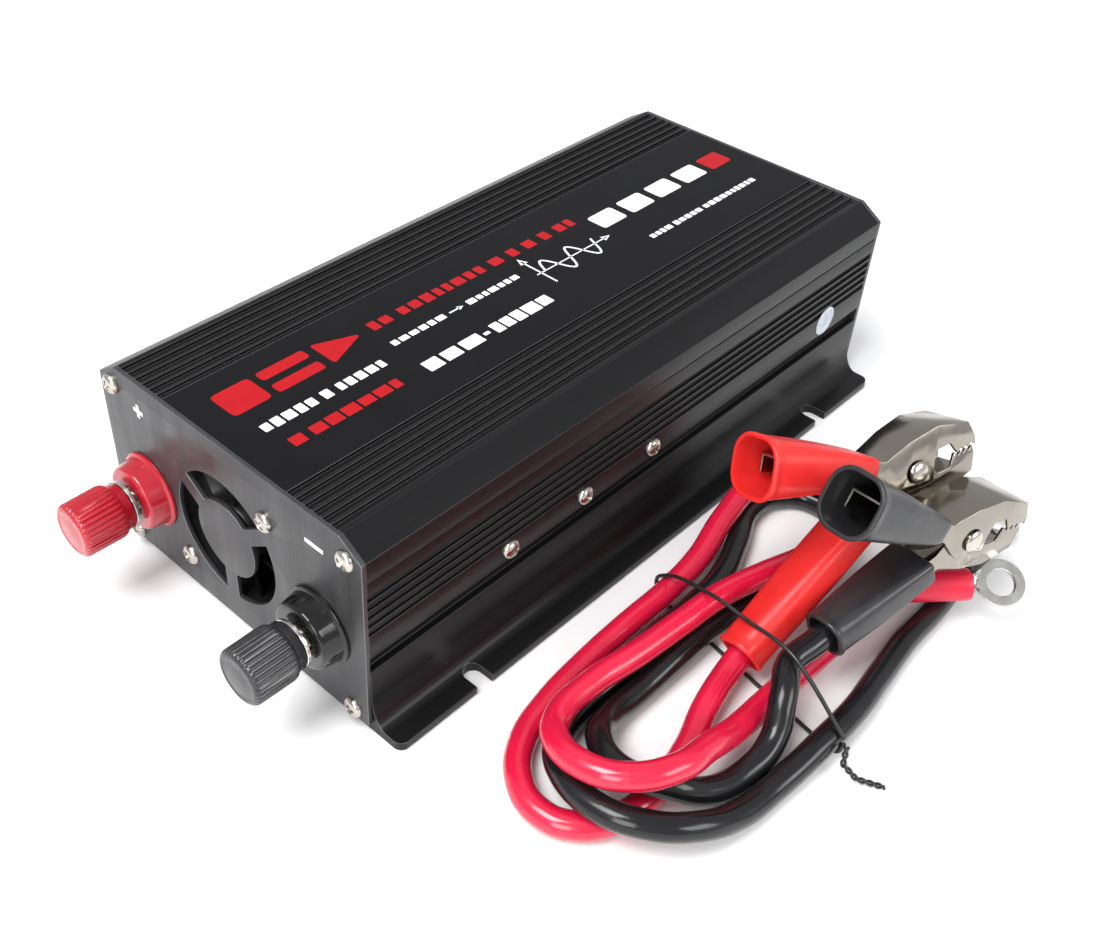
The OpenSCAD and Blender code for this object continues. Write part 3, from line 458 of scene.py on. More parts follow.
tie_mat = shader("tie_mat", (0.012, 0.012, 0.012), 0.4, vary=0.2, vary_scale=200, bump=0.2)
window = shader("window", (0.02, 0.004, 0.004), 0.08, coat=0.6, vary=0.1, vary_scale=50, bump=0.02)
segment_mat = shader("segment_mat", (0.1, 0.012, 0.01), 0.3, vary=0.1, vary_scale=100, bump=0.05)
rocker_mat = shader(
    "rocker_mat", (0.42, 0.01, 0.012), 0.18, coat=0.5, vary=0.08, vary_scale=100, bump=0.05)
board_green = shader(
    "board_green", (0.02, 0.12, 0.05), 0.35, coat=0.3, vary=0.2, vary_scale=120, bump=0.2)
board_blue = shader(
    "board_blue", (0.02, 0.05, 0.18), 0.35, coat=0.3, vary=0.2, vary_scale=120, bump=0.2)
ferrite = shader("ferrite", (0.06, 0.06, 0.065), 0.6, vary=0.2, vary_scale=200, bump=0.3)
tape = shader("tape", (0.6, 0.42, 0.04), 0.35, vary=0.15, vary_scale=100, bump=0.1)
can_blue = shader(
    "can_blue", (0.02, 0.03, 0.12), 0.25, coat=0.3, vary=0.15, vary_scale=100, bump=0.05)
film_grey = shader("film_grey", (0.6, 0.6, 0.58), 0.5, vary=0.08, vary_scale=100, bump=0.1)
bare_aluminium = shader(
    "bare_aluminium", (0.6, 0.6, 0.61), 0.35, metal=1.0, vary=0.1, vary_scale=100, bump=0.2,
    stretch=(0.1, 1, 1))
copper = shader(
    "copper", (0.5, 0.2, 0.07), 0.3, metal=0.8, vary=0.2, vary_scale=300, bump=0.4, bump_scale=900)
fuse_orange = shader(
    "fuse_orange", (0.75, 0.25, 0.02), 0.25, coat=0.3, vary=0.1, vary_scale=100, bump=0.05)
wire_mat = shader("wire_mat", (0.12, 0.012, 0.012), 0.4, vary=0.1, vary_scale=100, bump=0.1)
wire_brown = shader("wire_brown", (0.12, 0.05, 0.02), 0.4, vary=0.1, vary_scale=100, bump=0.1)
port_metal = shader(
    "port_metal", (0.6, 0.6, 0.6), 0.25, metal=1.0, vary=0.08, vary_scale=200, bump=0.08)

CAD_LOOKS = {
    "polarity_marks": ink_white, "side_sticker": silver_paper, "fan_frame": moulded,
    "stud_nuts": zinc, "main_board": board_green, "board_standoffs": stud_brass,
    "board_screws": nickel, "transformer_cores": ferrite, "transformer_windings": tape,
    "input_capacitors": can_blue, "bus_capacitors": can_blue, "mosfets": moulded,
    "insulator_strips": film_grey, "clamp_bars": bare_aluminium, "filter_choke": copper,
    "blade_fuses": fuse_orange, "control_board": board_blue, "dc_wires": wire_mat,
    "ac_wires": wire_brown, "outlet_contacts": stud_brass, "usb_port": port_metal,
}
for node, look in CAD_LOOKS.items():
    data = nodes[node].data
    data.materials.clear()
    data.materials.append(look)

# ---- cables, from the ring terminal to the clip ----
CABLE_D = 0.008
RED_ROUTE = [
    (28.4, -144.4, 13.3), (20.7, -136.7, 12.7), (8, -134.6, 9.5), (-8.1, -133.5, 6),
    (-24.1, -132.9, 5.9), (-40.2, -132.5, 5.9), (-56.2, -133.3, 9.4), (-72.2, -134.2, 17),
    (-86.1, -133.8, 21), (-97, -127.1, 21.4), (-101.8, -116.3, 20.3), (-99.2, -104.5, 17.7),
    (-90.8, -98.1, 15.2), (-75.9, -96.7, 14.1), (-57.9, -98.7, 13.8), (-39.9, -100.2, 13.7),
    (-22, -101.8, 13.8), (-4, -105.8, 13.2), (14, -110.9, 13), (30, -111.8, 12.7),
    (42, -105.8, 12.7), (45.9, -94.7, 12.8), (40.9, -83.6, 12.8), (28.8, -78.9, 12.5),
    (11.8, -80, 9.8), (-6.2, -83.7, 6.6), (-24.1, -85.5, 6.2), (-44.1, -85.7, 6.1),
    (-64.1, -85.8, 4.6), (-84.1, -87.9, 4.3), (-98, -91.9, 4.3), (-108, -100, 4.2),
    (-111.6, -110, 4.2), (-108.1, -120.1, 4.2), (-98.1, -126.5, 4.2), (-84, -128, 4.2),
    (-68, -126, 4.5), (-53.6, -121.5, 6.2), (-35.8, -118.3, 7.8), (-24.5, -118.8, 14.3),
    (-12.5, -119.7, 20.5)
]
BLACK_ROUTE = [
    (58.1, -145.3, 5.2), (47.2, -146.4, 5.2), (30, -147.8, 4.2), (12, -148.1, 4.2),
    (-6.1, -150, 4.3), (-24.2, -152.1, 5.9), (-42.3, -151.8, 5.9), (-60.4, -150.4, 4.4),
    (-76.4, -148.9, 5.9), (-90.3, -144.4, 10.5), (-100.1, -135.4, 12.6), (-104.6, -122.9, 12.4),
    (-101.2, -108.7, 10.3), (-92.2, -100, 6.6), (-78.1, -95.9, 4.3), (-60, -95.4, 4.3),
    (-42, -95, 5.8), (-23.9, -95.1, 5.9), (-5.8, -92.8, 4.4), (10.3, -87.1, 4.3),
    (27.5, -80.8, 4.2), (40.3, -84, 4.2), (46.3, -95.6, 4.3), (41.4, -107.4, 4.3),
    (29.2, -112.9, 4.3), (12, -110.8, 4.3), (-7, -106.9, 4.5), (-26, -104, 5.9), (-44, -103.8, 5.7),
    (-62, -103.6, 4.5), (-75.9, -104.3, 6.1), (-85.9, -109, 10.3), (-91.4, -120.7, 13),
    (-86.6, -132.4, 13.1), (-77.8, -138.9, 7.8), (-61.7, -142.2, 5), (-50.6, -142.2, 7.9),
    (-40.7, -137.5, 15.7), (-31.9, -133.2, 17.2), (-22.4, -134.4, 18.9), (-15.8, -135.6, 20.7)
]


def smooth_curve(name, points, radius, material, resolution=8, round_res=6):
    curve = bpy.data.curves.new(name, "CURVE")
    curve.dimensions = "3D"
    curve.bevel_depth = radius * MM
    curve.bevel_resolution = round_res
    curve.resolution_u = resolution
    curve.use_fill_caps = True
    s = curve.splines.new("BEZIER")
    s.bezier_points.add(len(points) - 1)
    for p, q in zip(s.bezier_points, points):
        p.co = Vector(q) * MM
        p.handle_left_type = p.handle_right_type = "AUTO"
    curve.materials.append(material)
    return link(bpy.data.objects.new(name, curve))


red_cord = smooth_curve("red_lead", RED_ROUTE, CABLE_D / 2 / MM, cable_red)
black_cord = smooth_curve("black_lead", BLACK_ROUTE, CABLE_D / 2 / MM, cable_black)
settle(red_cord, "lead_set", "cable_red", "red_cable")
settle(black_cord, "lead_set", "cable_black", "black_cable")

# ---- case ----
HALF_L, HALF_W, CASE_H = 124.0, 57.5, 71.0
PLATE_T = 1.5
EXT = HALF_L - PLATE_T
SPLIT_Z, WALL = 30.0, 2.5
INNER_Y = HALF_W - WALL
LABEL_HALF, LABEL_T = 27.0, 0.4
CHAMFER_Y, CHAMFER_Z = 8.4, 5.2
GROOVE_DEPTH = 1.2
TOP_GROOVES, TOP_PITCH, TOP_GROOVE_W = 6, 3.5, 2.4
SIDE_GROOVES, SIDE_PITCH, SIDE_GROOVE_W, SIDE_GROOVE_Z = 5, 3.2, 2.2, SPLIT_Z + 8.7
LINE_Z, LINE_W, LINE_DEPTH = 59.0, 0.6, 0.5
FLANGE_Y, FLANGE_T = 69.0, 3


def shell_half():
    """The outside of the upper cover on one side, from the label down to the split."""
    out = [(LABEL_HALF, CASE_H - LABEL_T), (LABEL_HALF, CASE_H)]
    for i in range(TOP_GROOVES):
        y, floor_z = LABEL_HALF + 0.4 + TOP_PITCH * i, CASE_H - GROOVE_DEPTH
        out += [(y, CASE_H), (y, floor_z), (y + TOP_GROOVE_W, floor_z), (y + TOP_GROOVE_W, CASE_H)]
    line_in = HALF_W - LINE_DEPTH
    out += [(HALF_W - CHAMFER_Y, CASE_H), (HALF_W, CASE_H - CHAMFER_Z),
            (HALF_W, LINE_Z + LINE_W), (line_in, LINE_Z + LINE_W), (line_in, LINE_Z),
            (HALF_W, LINE_Z)]
    for i in reversed(range(SIDE_GROOVES)):
        z, groove_in = SIDE_GROOVE_Z + SIDE_PITCH * i, HALF_W - GROOVE_DEPTH
        out += [(HALF_W, z + SIDE_GROOVE_W), (groove_in, z + SIDE_GROOVE_W), (groove_in, z),
                (HALF_W, z)]
    return out + [(HALF_W, SPLIT_Z)]


def mirrored_outline(half):
    """A closed outline of the (y, z) points and their mirror in the middle of the case."""
    return half + [(-y, z) for y, z in reversed(half)]


INNER_HALF = [(INNER_Y, SPLIT_Z), (INNER_Y, CASE_H - 6.4), (INNER_Y - 7.4, CASE_H - 3)]
outline = mirrored_outline(shell_half() + INNER_HALF)
shell = extrude_x("case_shell", fillet(outline, 0.22, 3), -EXT, EXT, case_black, 50)
settle(shell, "case", "case_anodised", "top_shell")

CURVE_Y, CURVE_Z = 5.5, 11
SEAT_Y, STEP_Y, TRAY_Y = HALF_W - 2.4, 54.7, 52.7


def base_half():
    """Half of the tray's section: flange, concave fillet, lip under the cover and inside wall."""
    arc = [(HALF_W + CURVE_Y * (1 - math.cos(math.radians(a))),
            FLANGE_T + CURVE_Z * (1 - math.sin(math.radians(a)))) for a in range(90, -1, -10)]
    return [(FLANGE_Y, 0), (FLANGE_Y, FLANGE_T)] + arc + [
        (HALF_W, SPLIT_Z - 5.5), (SEAT_Y, SPLIT_Z - 5.5), (SEAT_Y, SPLIT_Z), (STEP_Y, SPLIT_Z),
        (STEP_Y, SPLIT_Z + 2), (TRAY_Y, SPLIT_Z + 2), (TRAY_Y, FLANGE_T)]


outline = mirrored_outline(base_half())
base = extrude_x("case_base", fillet(outline, 0.4, 3), -EXT, EXT, case_black, 40)
CORNER_R = 3.0
SLOT_X, SLOT_Y, SLOT_R = 89.0, FLANGE_Y - 4.7, 3.25
CUT_Z = (-1, 4.2)


def corner_loop(sx, sy):
    """What rounds off one corner of the flanges."""
    x, y = EXT - CORNER_R, FLANGE_Y - CORNER_R
    arc = [(sx * (x + CORNER_R * math.sin(math.radians(a))),
            sy * (y + CORNER_R * math.cos(math.radians(a)))) for a in range(0, 91, 10)]
    return arc + [(sx * (EXT + 2), sy * y), (sx * (EXT + 2), sy * (FLANGE_Y + 2)),
                  (sx * x, sy * (FLANGE_Y + 2))]


def slot_loop(sx, sy):
    """An open mounting slot."""
    arc = [(sx * SLOT_X + SLOT_R * math.cos(math.radians(a)),
            sy * (SLOT_Y + SLOT_R * math.sin(math.radians(a)))) for a in range(180, 361, 12)]
    return arc + [(sx * SLOT_X + SLOT_R, sy * (FLANGE_Y + 3)),
                  (sx * SLOT_X - SLOT_R, sy * (FLANGE_Y + 3))]


for sx in (-1, 1):
    for sy in (-1, 1):
        for loop in (corner_loop(sx, sy), slot_loop(sx, sy)):
            verts = [(x, y, z) for z in CUT_Z for x, y in loop]
            cut(base, mesh_object("cutter", verts, prism_faces(len(loop))))
finish_mesh(base, case_black, 40)
settle(base, "case", "case_anodised", "base_extrusion")

PLATE_HALF = [(HALF_W, 3.2), (HALF_W, CASE_H - CHAMFER_Z), (HALF_W - CHAMFER_Y, CASE_H)]
PLATE_OUT = [(-HALF_W, 3.2)] + PLATE_HALF + [(-y, z) for y, z in reversed(PLATE_HALF[1:])]
PLATE_EDGE = 0.22
FAN_Y, FAN_Z = 2.0, 35.0
OPEN_R, DISC_R, ARM_W = 22.0, 13.0, 5.4
ARM_AT = [35.0, 145.0, 270.0]
ARC_STEPS = 40


def guard_gaps():
    """The openings between the arms of the fan guard."""
    loops = []
    for a, b in zip(ARM_AT, ARM_AT[1:] + [ARM_AT[0] + 360]):
        loop = []
        for r, order in ((OPEN_R, 1), (DISC_R, -1)):
            d = math.degrees(math.asin(ARM_W / 2 / r))
            arc = [math.radians(a + d + (b - a - 2 * d) * k / ARC_STEPS)
                   for k in range(ARC_STEPS + 1)][::order]
            loop += [(FAN_Y + r * math.cos(t), FAN_Z + r * math.sin(t)) for t in arc]
        loops.append(loop)
    return loops


dc_plate = plate("dc_plate", [fillet(PLATE_OUT, 0.8, 4)] + guard_gaps(), -HALF_L, -EXT,
                 PLATE_EDGE, plate_grey)
settle(dc_plate, "case", "end_plate", "dc_end_plate")
VENT_Y, VENT_H, VENT_Z, VENT_PITCH = (44, 53), 2.4, 36, 4.4
vents = []
for z in [VENT_Z + VENT_PITCH * i for i in range(5)]:
    vents.append(fillet([(VENT_Y[0], z), (VENT_Y[1], z), (VENT_Y[1], z + VENT_H),
                         (VENT_Y[0], z + VENT_H)], 0.5, 3))
ac_plate = plate("ac_plate", [fillet(PLATE_OUT, 0.8, 4)] + vents, EXT, HALF_L, PLATE_EDGE,
                 plate_grey)
settle(ac_plate, "case", "end_plate", "ac_end_plate")

# ---- label with plain bars and a wave pictogram in place of print ----
LABEL_Y = LABEL_HALF - 0.05
label = box("label", (-EXT, EXT), (-LABEL_Y, LABEL_Y), (CASE_H - LABEL_T, CASE_H), label_black)
INK_Z = CASE_H + 0.03


def ink(name, loops, material):
    """Flat print on the label, facing up."""
    obj = sheet(name, [[(x, y, INK_Z) for x, y in loop] for loop in loops], material)
    for p in obj.data.polygons:
        if p.normal.z < 0:
            p.flip()
    return obj


def bar(x0, x1, y, h, r=0.3):
    """A bar from x0 to x1, centred on y."""
    low, high = y - h / 2, y + h / 2
    return fillet([(x0, low), (x1, low), (x1, high), (x0, high)], r, 2)


def words(x0, x1, y, h, count, weight, seed):
    """A run of plain blocks of uneven width that stands in for a line of print."""
    rnd = random.Random(seed)
    widths = [rnd.uniform(0.7, 1.3) for _ in range(count)]
    gaps = [rnd.choice((0.35, 0.35, 0.35, 1.0)) for _ in range(count - 1)] + [0]
    unit = (x1 - x0) / (sum(widths) + sum(gaps) * weight)
    loops, x = [], x0
    for w, g in zip(widths, gaps):
        loops.append(bar(x, x + w * unit, y, h * rnd.uniform(0.82, 1.0)))
        x += (w + g * weight) * unit
    return loops


def stroke(points, w):
    """A line of width w along the points."""
    left, right_side = [], []
    for i, p in enumerate(points):
        a, b = Vector(points[max(i - 1, 0)]), Vector(points[min(i + 1, len(points) - 1)])
        d = (b - a).normalized()
        nrm = Vector((-d.y, d.x)) * w / 2
        left.append(tuple(Vector(p) + nrm))
        right_side.append(tuple(Vector(p) - nrm))
    return left + right_side[::-1]


BLOCK_R = 1.2
red_loops = [bar(-113, -99.5, 12.5, 12, 1.6), bar(-97, -79.5, 16.2, 4.4, BLOCK_R),
             bar(-97, -79.5, 8.8, 4.4, BLOCK_R),
             fillet([(-76.5, 6.5), (-61, 12.5), (-76.5, 18.5)], 1.0, 3)]
red_loops += words(-57, 36, 13, 4.6, 16, 1.0, 3)
red_loops += words(-109, -69, -13, 4.6, 7, 0.6, 5)
red_loops += [bar(103, 114.5, 6.2, 8.6, BLOCK_R)]
white_loops = words(-111, -66, -3, 4.2, 11, 0.9, 11)
white_loops += words(-58, -36, 2, 2.6, 6, 0.8, 21) + words(-26, -3, 2, 2.6, 7, 0.8, 22)
white_loops += [stroke([(-34, 2), (-29.5, 2)], 0.6), [(-30.2, 3.1), (-28, 2), (-30.2, 0.9)]]
white_loops += words(-59, -36, -13.5, 5.2, 3, 0.5, 31) + [bar(-34.6, -32.2, -13.5, 1.4)]
white_loops += words(-30.5, -5, -13.5, 5.2, 5, 0.5, 32)
BLOCK_X, BLOCK_W, BLOCK_PITCH = 41, 12.2, 15.5
for x in [BLOCK_X + BLOCK_PITCH * i for i in range(4)]:
    white_loops.append(bar(x, x + BLOCK_W, 6.2, 8.6, BLOCK_R))
white_loops += words(48, 108, -12.5, 2.6, 19, 0.7, 41)
WAVE_STEPS, WAVE_X, WAVE_Y, WAVE_LENGTH, WAVE_HEIGHT, WAVE_COUNT = 60, 6, -2, 26, 5.2, 2.1
wave = [(WAVE_X + WAVE_LENGTH * t / WAVE_STEPS,
         WAVE_Y + WAVE_HEIGHT * math.sin(t / WAVE_STEPS * 2 * WAVE_COUNT * math.pi))
        for t in range(WAVE_STEPS + 1)]
white_loops += [stroke(wave, 0.8), stroke([(4, -9), (4, 7)], 0.7), stroke([(2, -2), (37, -2)], 0.5),
                [(2.4, 5.4), (4, 9), (5.6, 5.4)], [(35, -3.4), (38.6, -2), (35, -0.6)]]
label_ink = join("label_print", [ink("ink_a", red_loops, ink_red),
                                 ink("ink_b", white_loops, ink_white)])
settle(label, "case", "label_film", "top_label")
settle(label_ink, "case", "white_print")

# ---- screws ----
SCREW_HEAD = [(1.25, -1.4), (1.25, 0.0), (3.3, 0.0), (3.3, 0.25), (3.25, 0.6), (3.05, 1.05),
              (2.6, 1.5), (1.9, 1.82), (1.1, 1.97), (0.0, 2.0)]
CROSS_TOP, CROSS_LOW = (2.0, 0.5, 2.3), (0.9, 0.28, 0.6)


def screw_head(name):
    """A pan head with a cross recess."""
    head = lathe(name, SCREW_HEAD, nickel, 48)
    for a in (0, 90):
        c, s = math.cos(math.radians(a)), math.sin(math.radians(a))
        verts = []
        for hx, hy, z in (CROSS_TOP, CROSS_LOW):
            verts += [(x * c - y * s, x * s + y * c, z)
                      for x, y in ((-hx, -hy), (hx, -hy), (hx, hy), (-hx, hy))]
        cut(head, mesh_object("cross", verts, [(0, 1, 2, 3), (7, 6, 5, 4), (0, 4, 5, 1),
                                               (1, 5, 6, 2), (2, 6, 7, 3), (3, 7, 4, 0)]))
    return finish_mesh(head, nickel, 30)


SCREW_Y, TOP_SCREW_Z, LOW_SCREW_Z = 51.5, 64.1, 6.6
SIDE_X, SIDE_Z = (-68, -35, -2), 34.2
FAN_SCREW = 20
master = screw_head("screw_master")


def screws(name, places, node):
    """A head at each place: position, outward direction and turn in degrees."""
    parts = []
    for at, out, turn in places:
        o = link(bpy.data.objects.new("s", master.data.copy()))
        q = Vector((0, 0, 1)).rotation_difference(Vector(out)).to_matrix().to_4x4()
        move(o, Matrix.Translation(at) @ q @ Matrix.Rotation(math.radians(turn), 4, "Z"))
        parts.append(o)
    obj = join(name, parts)
    obj.data.materials.clear()
    obj.data.materials.append(nickel)
    for p in obj.data.polygons:
        p.material_index = 0
    settle(obj, "case", "screw_nickel", node)


corners = [(s * SCREW_Y, z) for s in (-1, 1) for z in (LOW_SCREW_Z, TOP_SCREW_Z)]
screws("dc_screw_heads", [((-HALF_L, y, z), (-1, 0, 0), 20 + 31 * i)
                          for i, (y, z) in enumerate(corners)], "dc_plate_screws")
screws("ac_screw_heads", [((HALF_L, y, z), (1, 0, 0), 10 + 47 * i)
                          for i, (y, z) in enumerate(corners)], "ac_plate_screws")
screws("side_screw_heads", [((x, s * HALF_W, SIDE_Z), (0, s, 0), 12 + 40 * i)
                            for s in (-1, 1) for i, x in enumerate(SIDE_X)], "side_screws")
screws("fan_screw_heads", [((-HALF_L, FAN_Y + s * FAN_SCREW, FAN_Z - s * FAN_SCREW), (-1, 0, 0),
                            30 * s) for s in (-1, 1)], "fan_screws")
bpy.data.objects.remove(master)

# ---- fan ----
TO_FAN = Matrix.Translation((-122.2, FAN_Y, FAN_Z)) @ Matrix.Rotation(math.pi / 2, 4, "Y")
HUB = [(0, 1.2), (9.4, 1.2), (10.1, 1.5), (10.5, 2.2), (10.5, 12.2)]
BLADES, ROOT_R, TIP_R = 7, 10.2, 23.0
BLADE_Z, BLADE_H, BLADE_T, CAMBER = 6.9, 9.2, 0.9, 1.2
SPANS, CHORDS = 8, 10


def blade(turn):
    """A cambered, swept blade: two skins joined round their rim."""
    verts, faces = [], []
    for side in (0, 1):
        for u in [k / SPANS for k in range(SPANS + 1)]:
            r = ROOT_R + (TIP_R - ROOT_R) * u
            for t in [k / CHORDS - 0.5 for k in range(CHORDS + 1)]:
                sweep = (0.46 + 0.1 * u) * t * 1.75 + 0.16 * u
                camber = CAMBER * (0.25 - t * t) * 4
                z = BLADE_Z + t * BLADE_H * (1 - 0.18 * u) + (side - 0.5) * BLADE_T + camber
                verts.append((r * math.cos(turn + sweep), r * math.sin(turn + sweep), z))
    m = CHORDS + 1
    skin = (SPANS + 1) * m
    for u in range(SPANS):
        for v in range(CHORDS):
            a, b, c, d = u * m + v, u * m + v + 1, (u + 1) * m + v + 1, (u + 1) * m + v
            faces += [(a, b, c, d), (skin + d, skin + c, skin + b, skin + a)]
    rim = [u * m for u in range(SPANS + 1)] + [SPANS * m + v for v in range(1, CHORDS + 1)]
    rim += [u * m + CHORDS for u in range(SPANS - 1, -1, -1)] + list(range(CHORDS - 1, 0, -1))
    for a, b in zip(rim, rim[1:] + rim[:1]):
        faces.append((a, b, skin + b, skin + a))
    return mesh_object("blade", verts, faces, fan_black)


rotor = [lathe("hub", HUB, fan_black)] + [blade(i * 2 * math.pi / BLADES) for i in range(BLADES)]
settle(move(join("fan_blades", rotor), TO_FAN), "fan", "fan_plastic", "fan_rotor")

# ---- battery posts: profiles are (radius, distance from the end plate) ----
POST_Y, POST_Z = 39.0, 31.0


def post(s):
    return Matrix.Translation((-HALF_L, s * POST_Y, POST_Z)) @ Matrix.Rotation(-math.pi / 2, 4, "Y")


def arc_profile(r0, z0, r1, z1, n=5):
    """A quarter round from (r0, z0) to (r1, z1) that leaves along z."""
    arc = [math.pi / 2 * k / n for k in range(n + 1)]
    return [(r1 + (r0 - r1) * math.cos(a), z0 + (z1 - z0) * math.sin(a)) for a in arc]


COLLAR = ([(4.3, 0), (12.1, 0), (12.4, 0.25), (12.4, 0.9), (12.15, 1.2), (11.75, 1.35),
           (11.45, 1.55), (11.3, 2.2), (10.75, 5.2)] + arc_profile(10.5, 6.3, 9.3, 7.5)
          + [(6.6, 7.6), (6.3, 7.3), (4.6, 7.3), (4.3, 7.0), (4.3, 0)])
POSTS = (("red", 1, red_gloss), ("black", -1, black_gloss))
for colour, s, gloss in POSTS:
    settle(lathe(colour + "_collar_look", COLLAR, gloss, 96, post(s)), "case", colour + "_gloss",
           colour + "_collar")
WASHER_AT = 9.2
WASHER = [(r, WASHER_AT + z) for r, z in (
    (4.5, 0.15), (4.7, 0), (7.2, 0), (7.4, 0.2), (7.4, 1.0), (7.2, 1.2), (4.7, 1.2), (4.5, 1.05),
    (4.5, 0.15))]
for colour, s, _ in POSTS:
    settle(lathe(colour + "_washer_look", WASHER, washer_mat, 64, post(s)),
           colour + "_washer_body", "washer_metal", colour + "_washer")
STUD_R, THREAD_PITCH, THREAD_DEPTH = 4.0, 1.25, 0.7
STUD_Z0, STUD_Z1, STUD_STEPS = -16.0, 22.0, 32
RINGS_A_TURN = 4


def stud(name, s):
    """A stud with a right-hand thread, shallower at its ends."""
    verts = []
    rings = int((STUD_Z1 - STUD_Z0) / THREAD_PITCH * RINGS_A_TURN)
    for i in range(rings + 1):
        z = STUD_Z0 + (STUD_Z1 - STUD_Z0) * i / rings
        depth = THREAD_DEPTH * (1 if 2 < i < rings - 2 else 0.6)
        for k in range(STUD_STEPS):
            a = 2 * math.pi * k / STUD_STEPS
            phase = (z / THREAD_PITCH - k / STUD_STEPS) % 1.0
            r = STUD_R - depth * abs(2 * phase - 1) - 0.02
            verts.append((r * math.cos(a), r * math.sin(a), z))
    faces = ring_faces(rings + 1, STUD_STEPS)
    faces += [tuple(range(STUD_STEPS - 1, -1, -1)),
              tuple(rings * STUD_STEPS + k for k in range(STUD_STEPS))]
    return move(mesh_object(name, verts, faces, stud_brass, 60), post(s))


studs = join("studs", [stud("stud_a", 1), stud("stud_b", -1)])
settle(studs, "case", "stud_metal", "terminal_studs")
KNOB_AT = WASHER_AT + 1.5
FLUTES = 32
GRIP_Z, GRIP_LENGTH, GRIP_STEPS = 3.0, 13.2, 24
GROOVE_PART = 0.075
KNOB_NECK = [(4.1, 0.3), (4.4, 0.0), (7.2, 0.0), (7.6, 0.35), (7.6, 2.4), (7.75, 2.8)]
KNOB_END = [(8.55, 16.4, 0.5), (8.35, 16.9, 0.4), (7.9, 17.3, 0.15), (7.2, 17.55, 0),
            (6.6, 17.62, 0), (6.4, 17.5, 0), (6.2, 17.45, 0), (4.0, 17.75, 0), (2.0, 17.86, 0),
            (0.0, 17.9, 0)]


def knob(name, s, material):
    """Neck, fluted grip whose flutes run out at both ends, and a domed end."""
    profile, depth = list(KNOB_NECK), [0.0] * len(KNOB_NECK)
    for t in [k / GRIP_STEPS for k in range(GRIP_STEPS + 1)]:
        profile.append((8.0 + 0.8 * min(1.0, t / 0.12) ** 0.5 - 0.15 * t, GRIP_Z + GRIP_LENGTH * t))
        depth.append(min(1.0, t / 0.06) * (1.0 - 0.45 * t))
    profile += [(r, z) for r, z, _ in KNOB_END]
    depth += [d for _, _, d in KNOB_END]

    def radial(a, i):
        ridge = (math.cos(FLUTES * a) + 1) / 2
        return 1 - GROOVE_PART * depth[i] * (1 - ridge ** 0.6)

    obj = lathe(name, profile, material, FLUTES * 8, None, radial, 50)
    return move(obj, post(s) @ Matrix.Translation((0, 0, KNOB_AT)))


settle(knob("red_knob_look", 1, red_gloss), "red_knob_body", "red_gloss", "red_knob")
settle(knob("black_knob_look", -1, knob_black), "black_knob_body", "knob_black", "black_knob")

# ---- far end ----
settle(copy_node("outlet", 0.35, moulded, 3), "case", "black_plastic", "outlet")
settle(copy_node("switch_bezel", 0.35, moulded, 3), "case", "black_plastic", "switch_bezel")
settle(copy_node("switch_rocker", 0.3, rocker_mat, 3), "rocker", "rocker_red", "switch_rocker")
window_look = copy_node("display", 0.3, window, 3)
DISPLAY_Y, DISPLAY_Z, SEGMENT_X = 24.0, 52.0, HALF_L + 0.83
DIGIT_W, DIGIT_H, DIGIT_PITCH, SEGMENT_W = 4.4, 8.2, 8.2, 0.9
segments = []
for i in range(3):
    centre = DISPLAY_Y + (i - 1) * DIGIT_PITCH
    boxes = [(0, z, DIGIT_W, SEGMENT_W) for z in (DIGIT_H / 2, 0, -DIGIT_H / 2)]
    boxes += [(sy * DIGIT_W / 2, sz * DIGIT_H / 4, SEGMENT_W, DIGIT_H / 2 - SEGMENT_W)
              for sy in (-1, 1) for sz in (-1, 1)]
    for y, z, w, h in boxes:
        y0, z0 = centre + y - w / 2, DISPLAY_Z + z - h / 2
        loop = fillet([(y0, z0), (y0 + w, z0), (y0 + w, z0 + h), (y0, z0 + h)], 0.25, 2)
        segments.append([(SEGMENT_X, y2, z2) for y2, z2 in loop])
digits = sheet("digit_segments", segments, segment_mat)
settle(join("display_look", [window_look, digits]), "case", "display_window", "display")

# ---- battery clips: each has its pivot at the origin and its handles towards -X ----
HANDLE_ANGLE = math.radians(24)
RED_CLIP = turned((33.9, -123.0, 44.8), Z=-16.8, X=-22.9, Y=-6.1)
BLACK_CLIP = turned((32.6, -144.4, 34.3), Z=-12.5, X=-8, Y=8.4)
FLIP = Matrix.Scale(-1, 4, (0, 0, 1))
BOOT_START, START_SECTION = 16.5, (7.9, 4.1, 1.8)
UPPER_END, UPPER_SECTION = 57, (9.4, 9.4, 7)
LOWER_SECTION = (6.6, 6.6, 5)
BOOT_WALL, BOOT_DEEP, BELLY = 1.15, 14.0, 0.35
SKIN_STEPS, MOUTH_STEPS = 18, 8


def rounded_section(half_y, half_t, r, n=6):
    """Points round a rounded rectangle, as (y, t)."""
    pts = []
    for cy, ct, a0 in ((1, 1, 0), (-1, 1, 90), (-1, -1, 180), (1, -1, 270)):
        for k in range(n + 1):
            a = math.radians(a0 + 90 * k / n)
            pts.append((cy * (half_y - r) + r * math.cos(a), ct * (half_t - r) + r * math.sin(a)))
    return pts


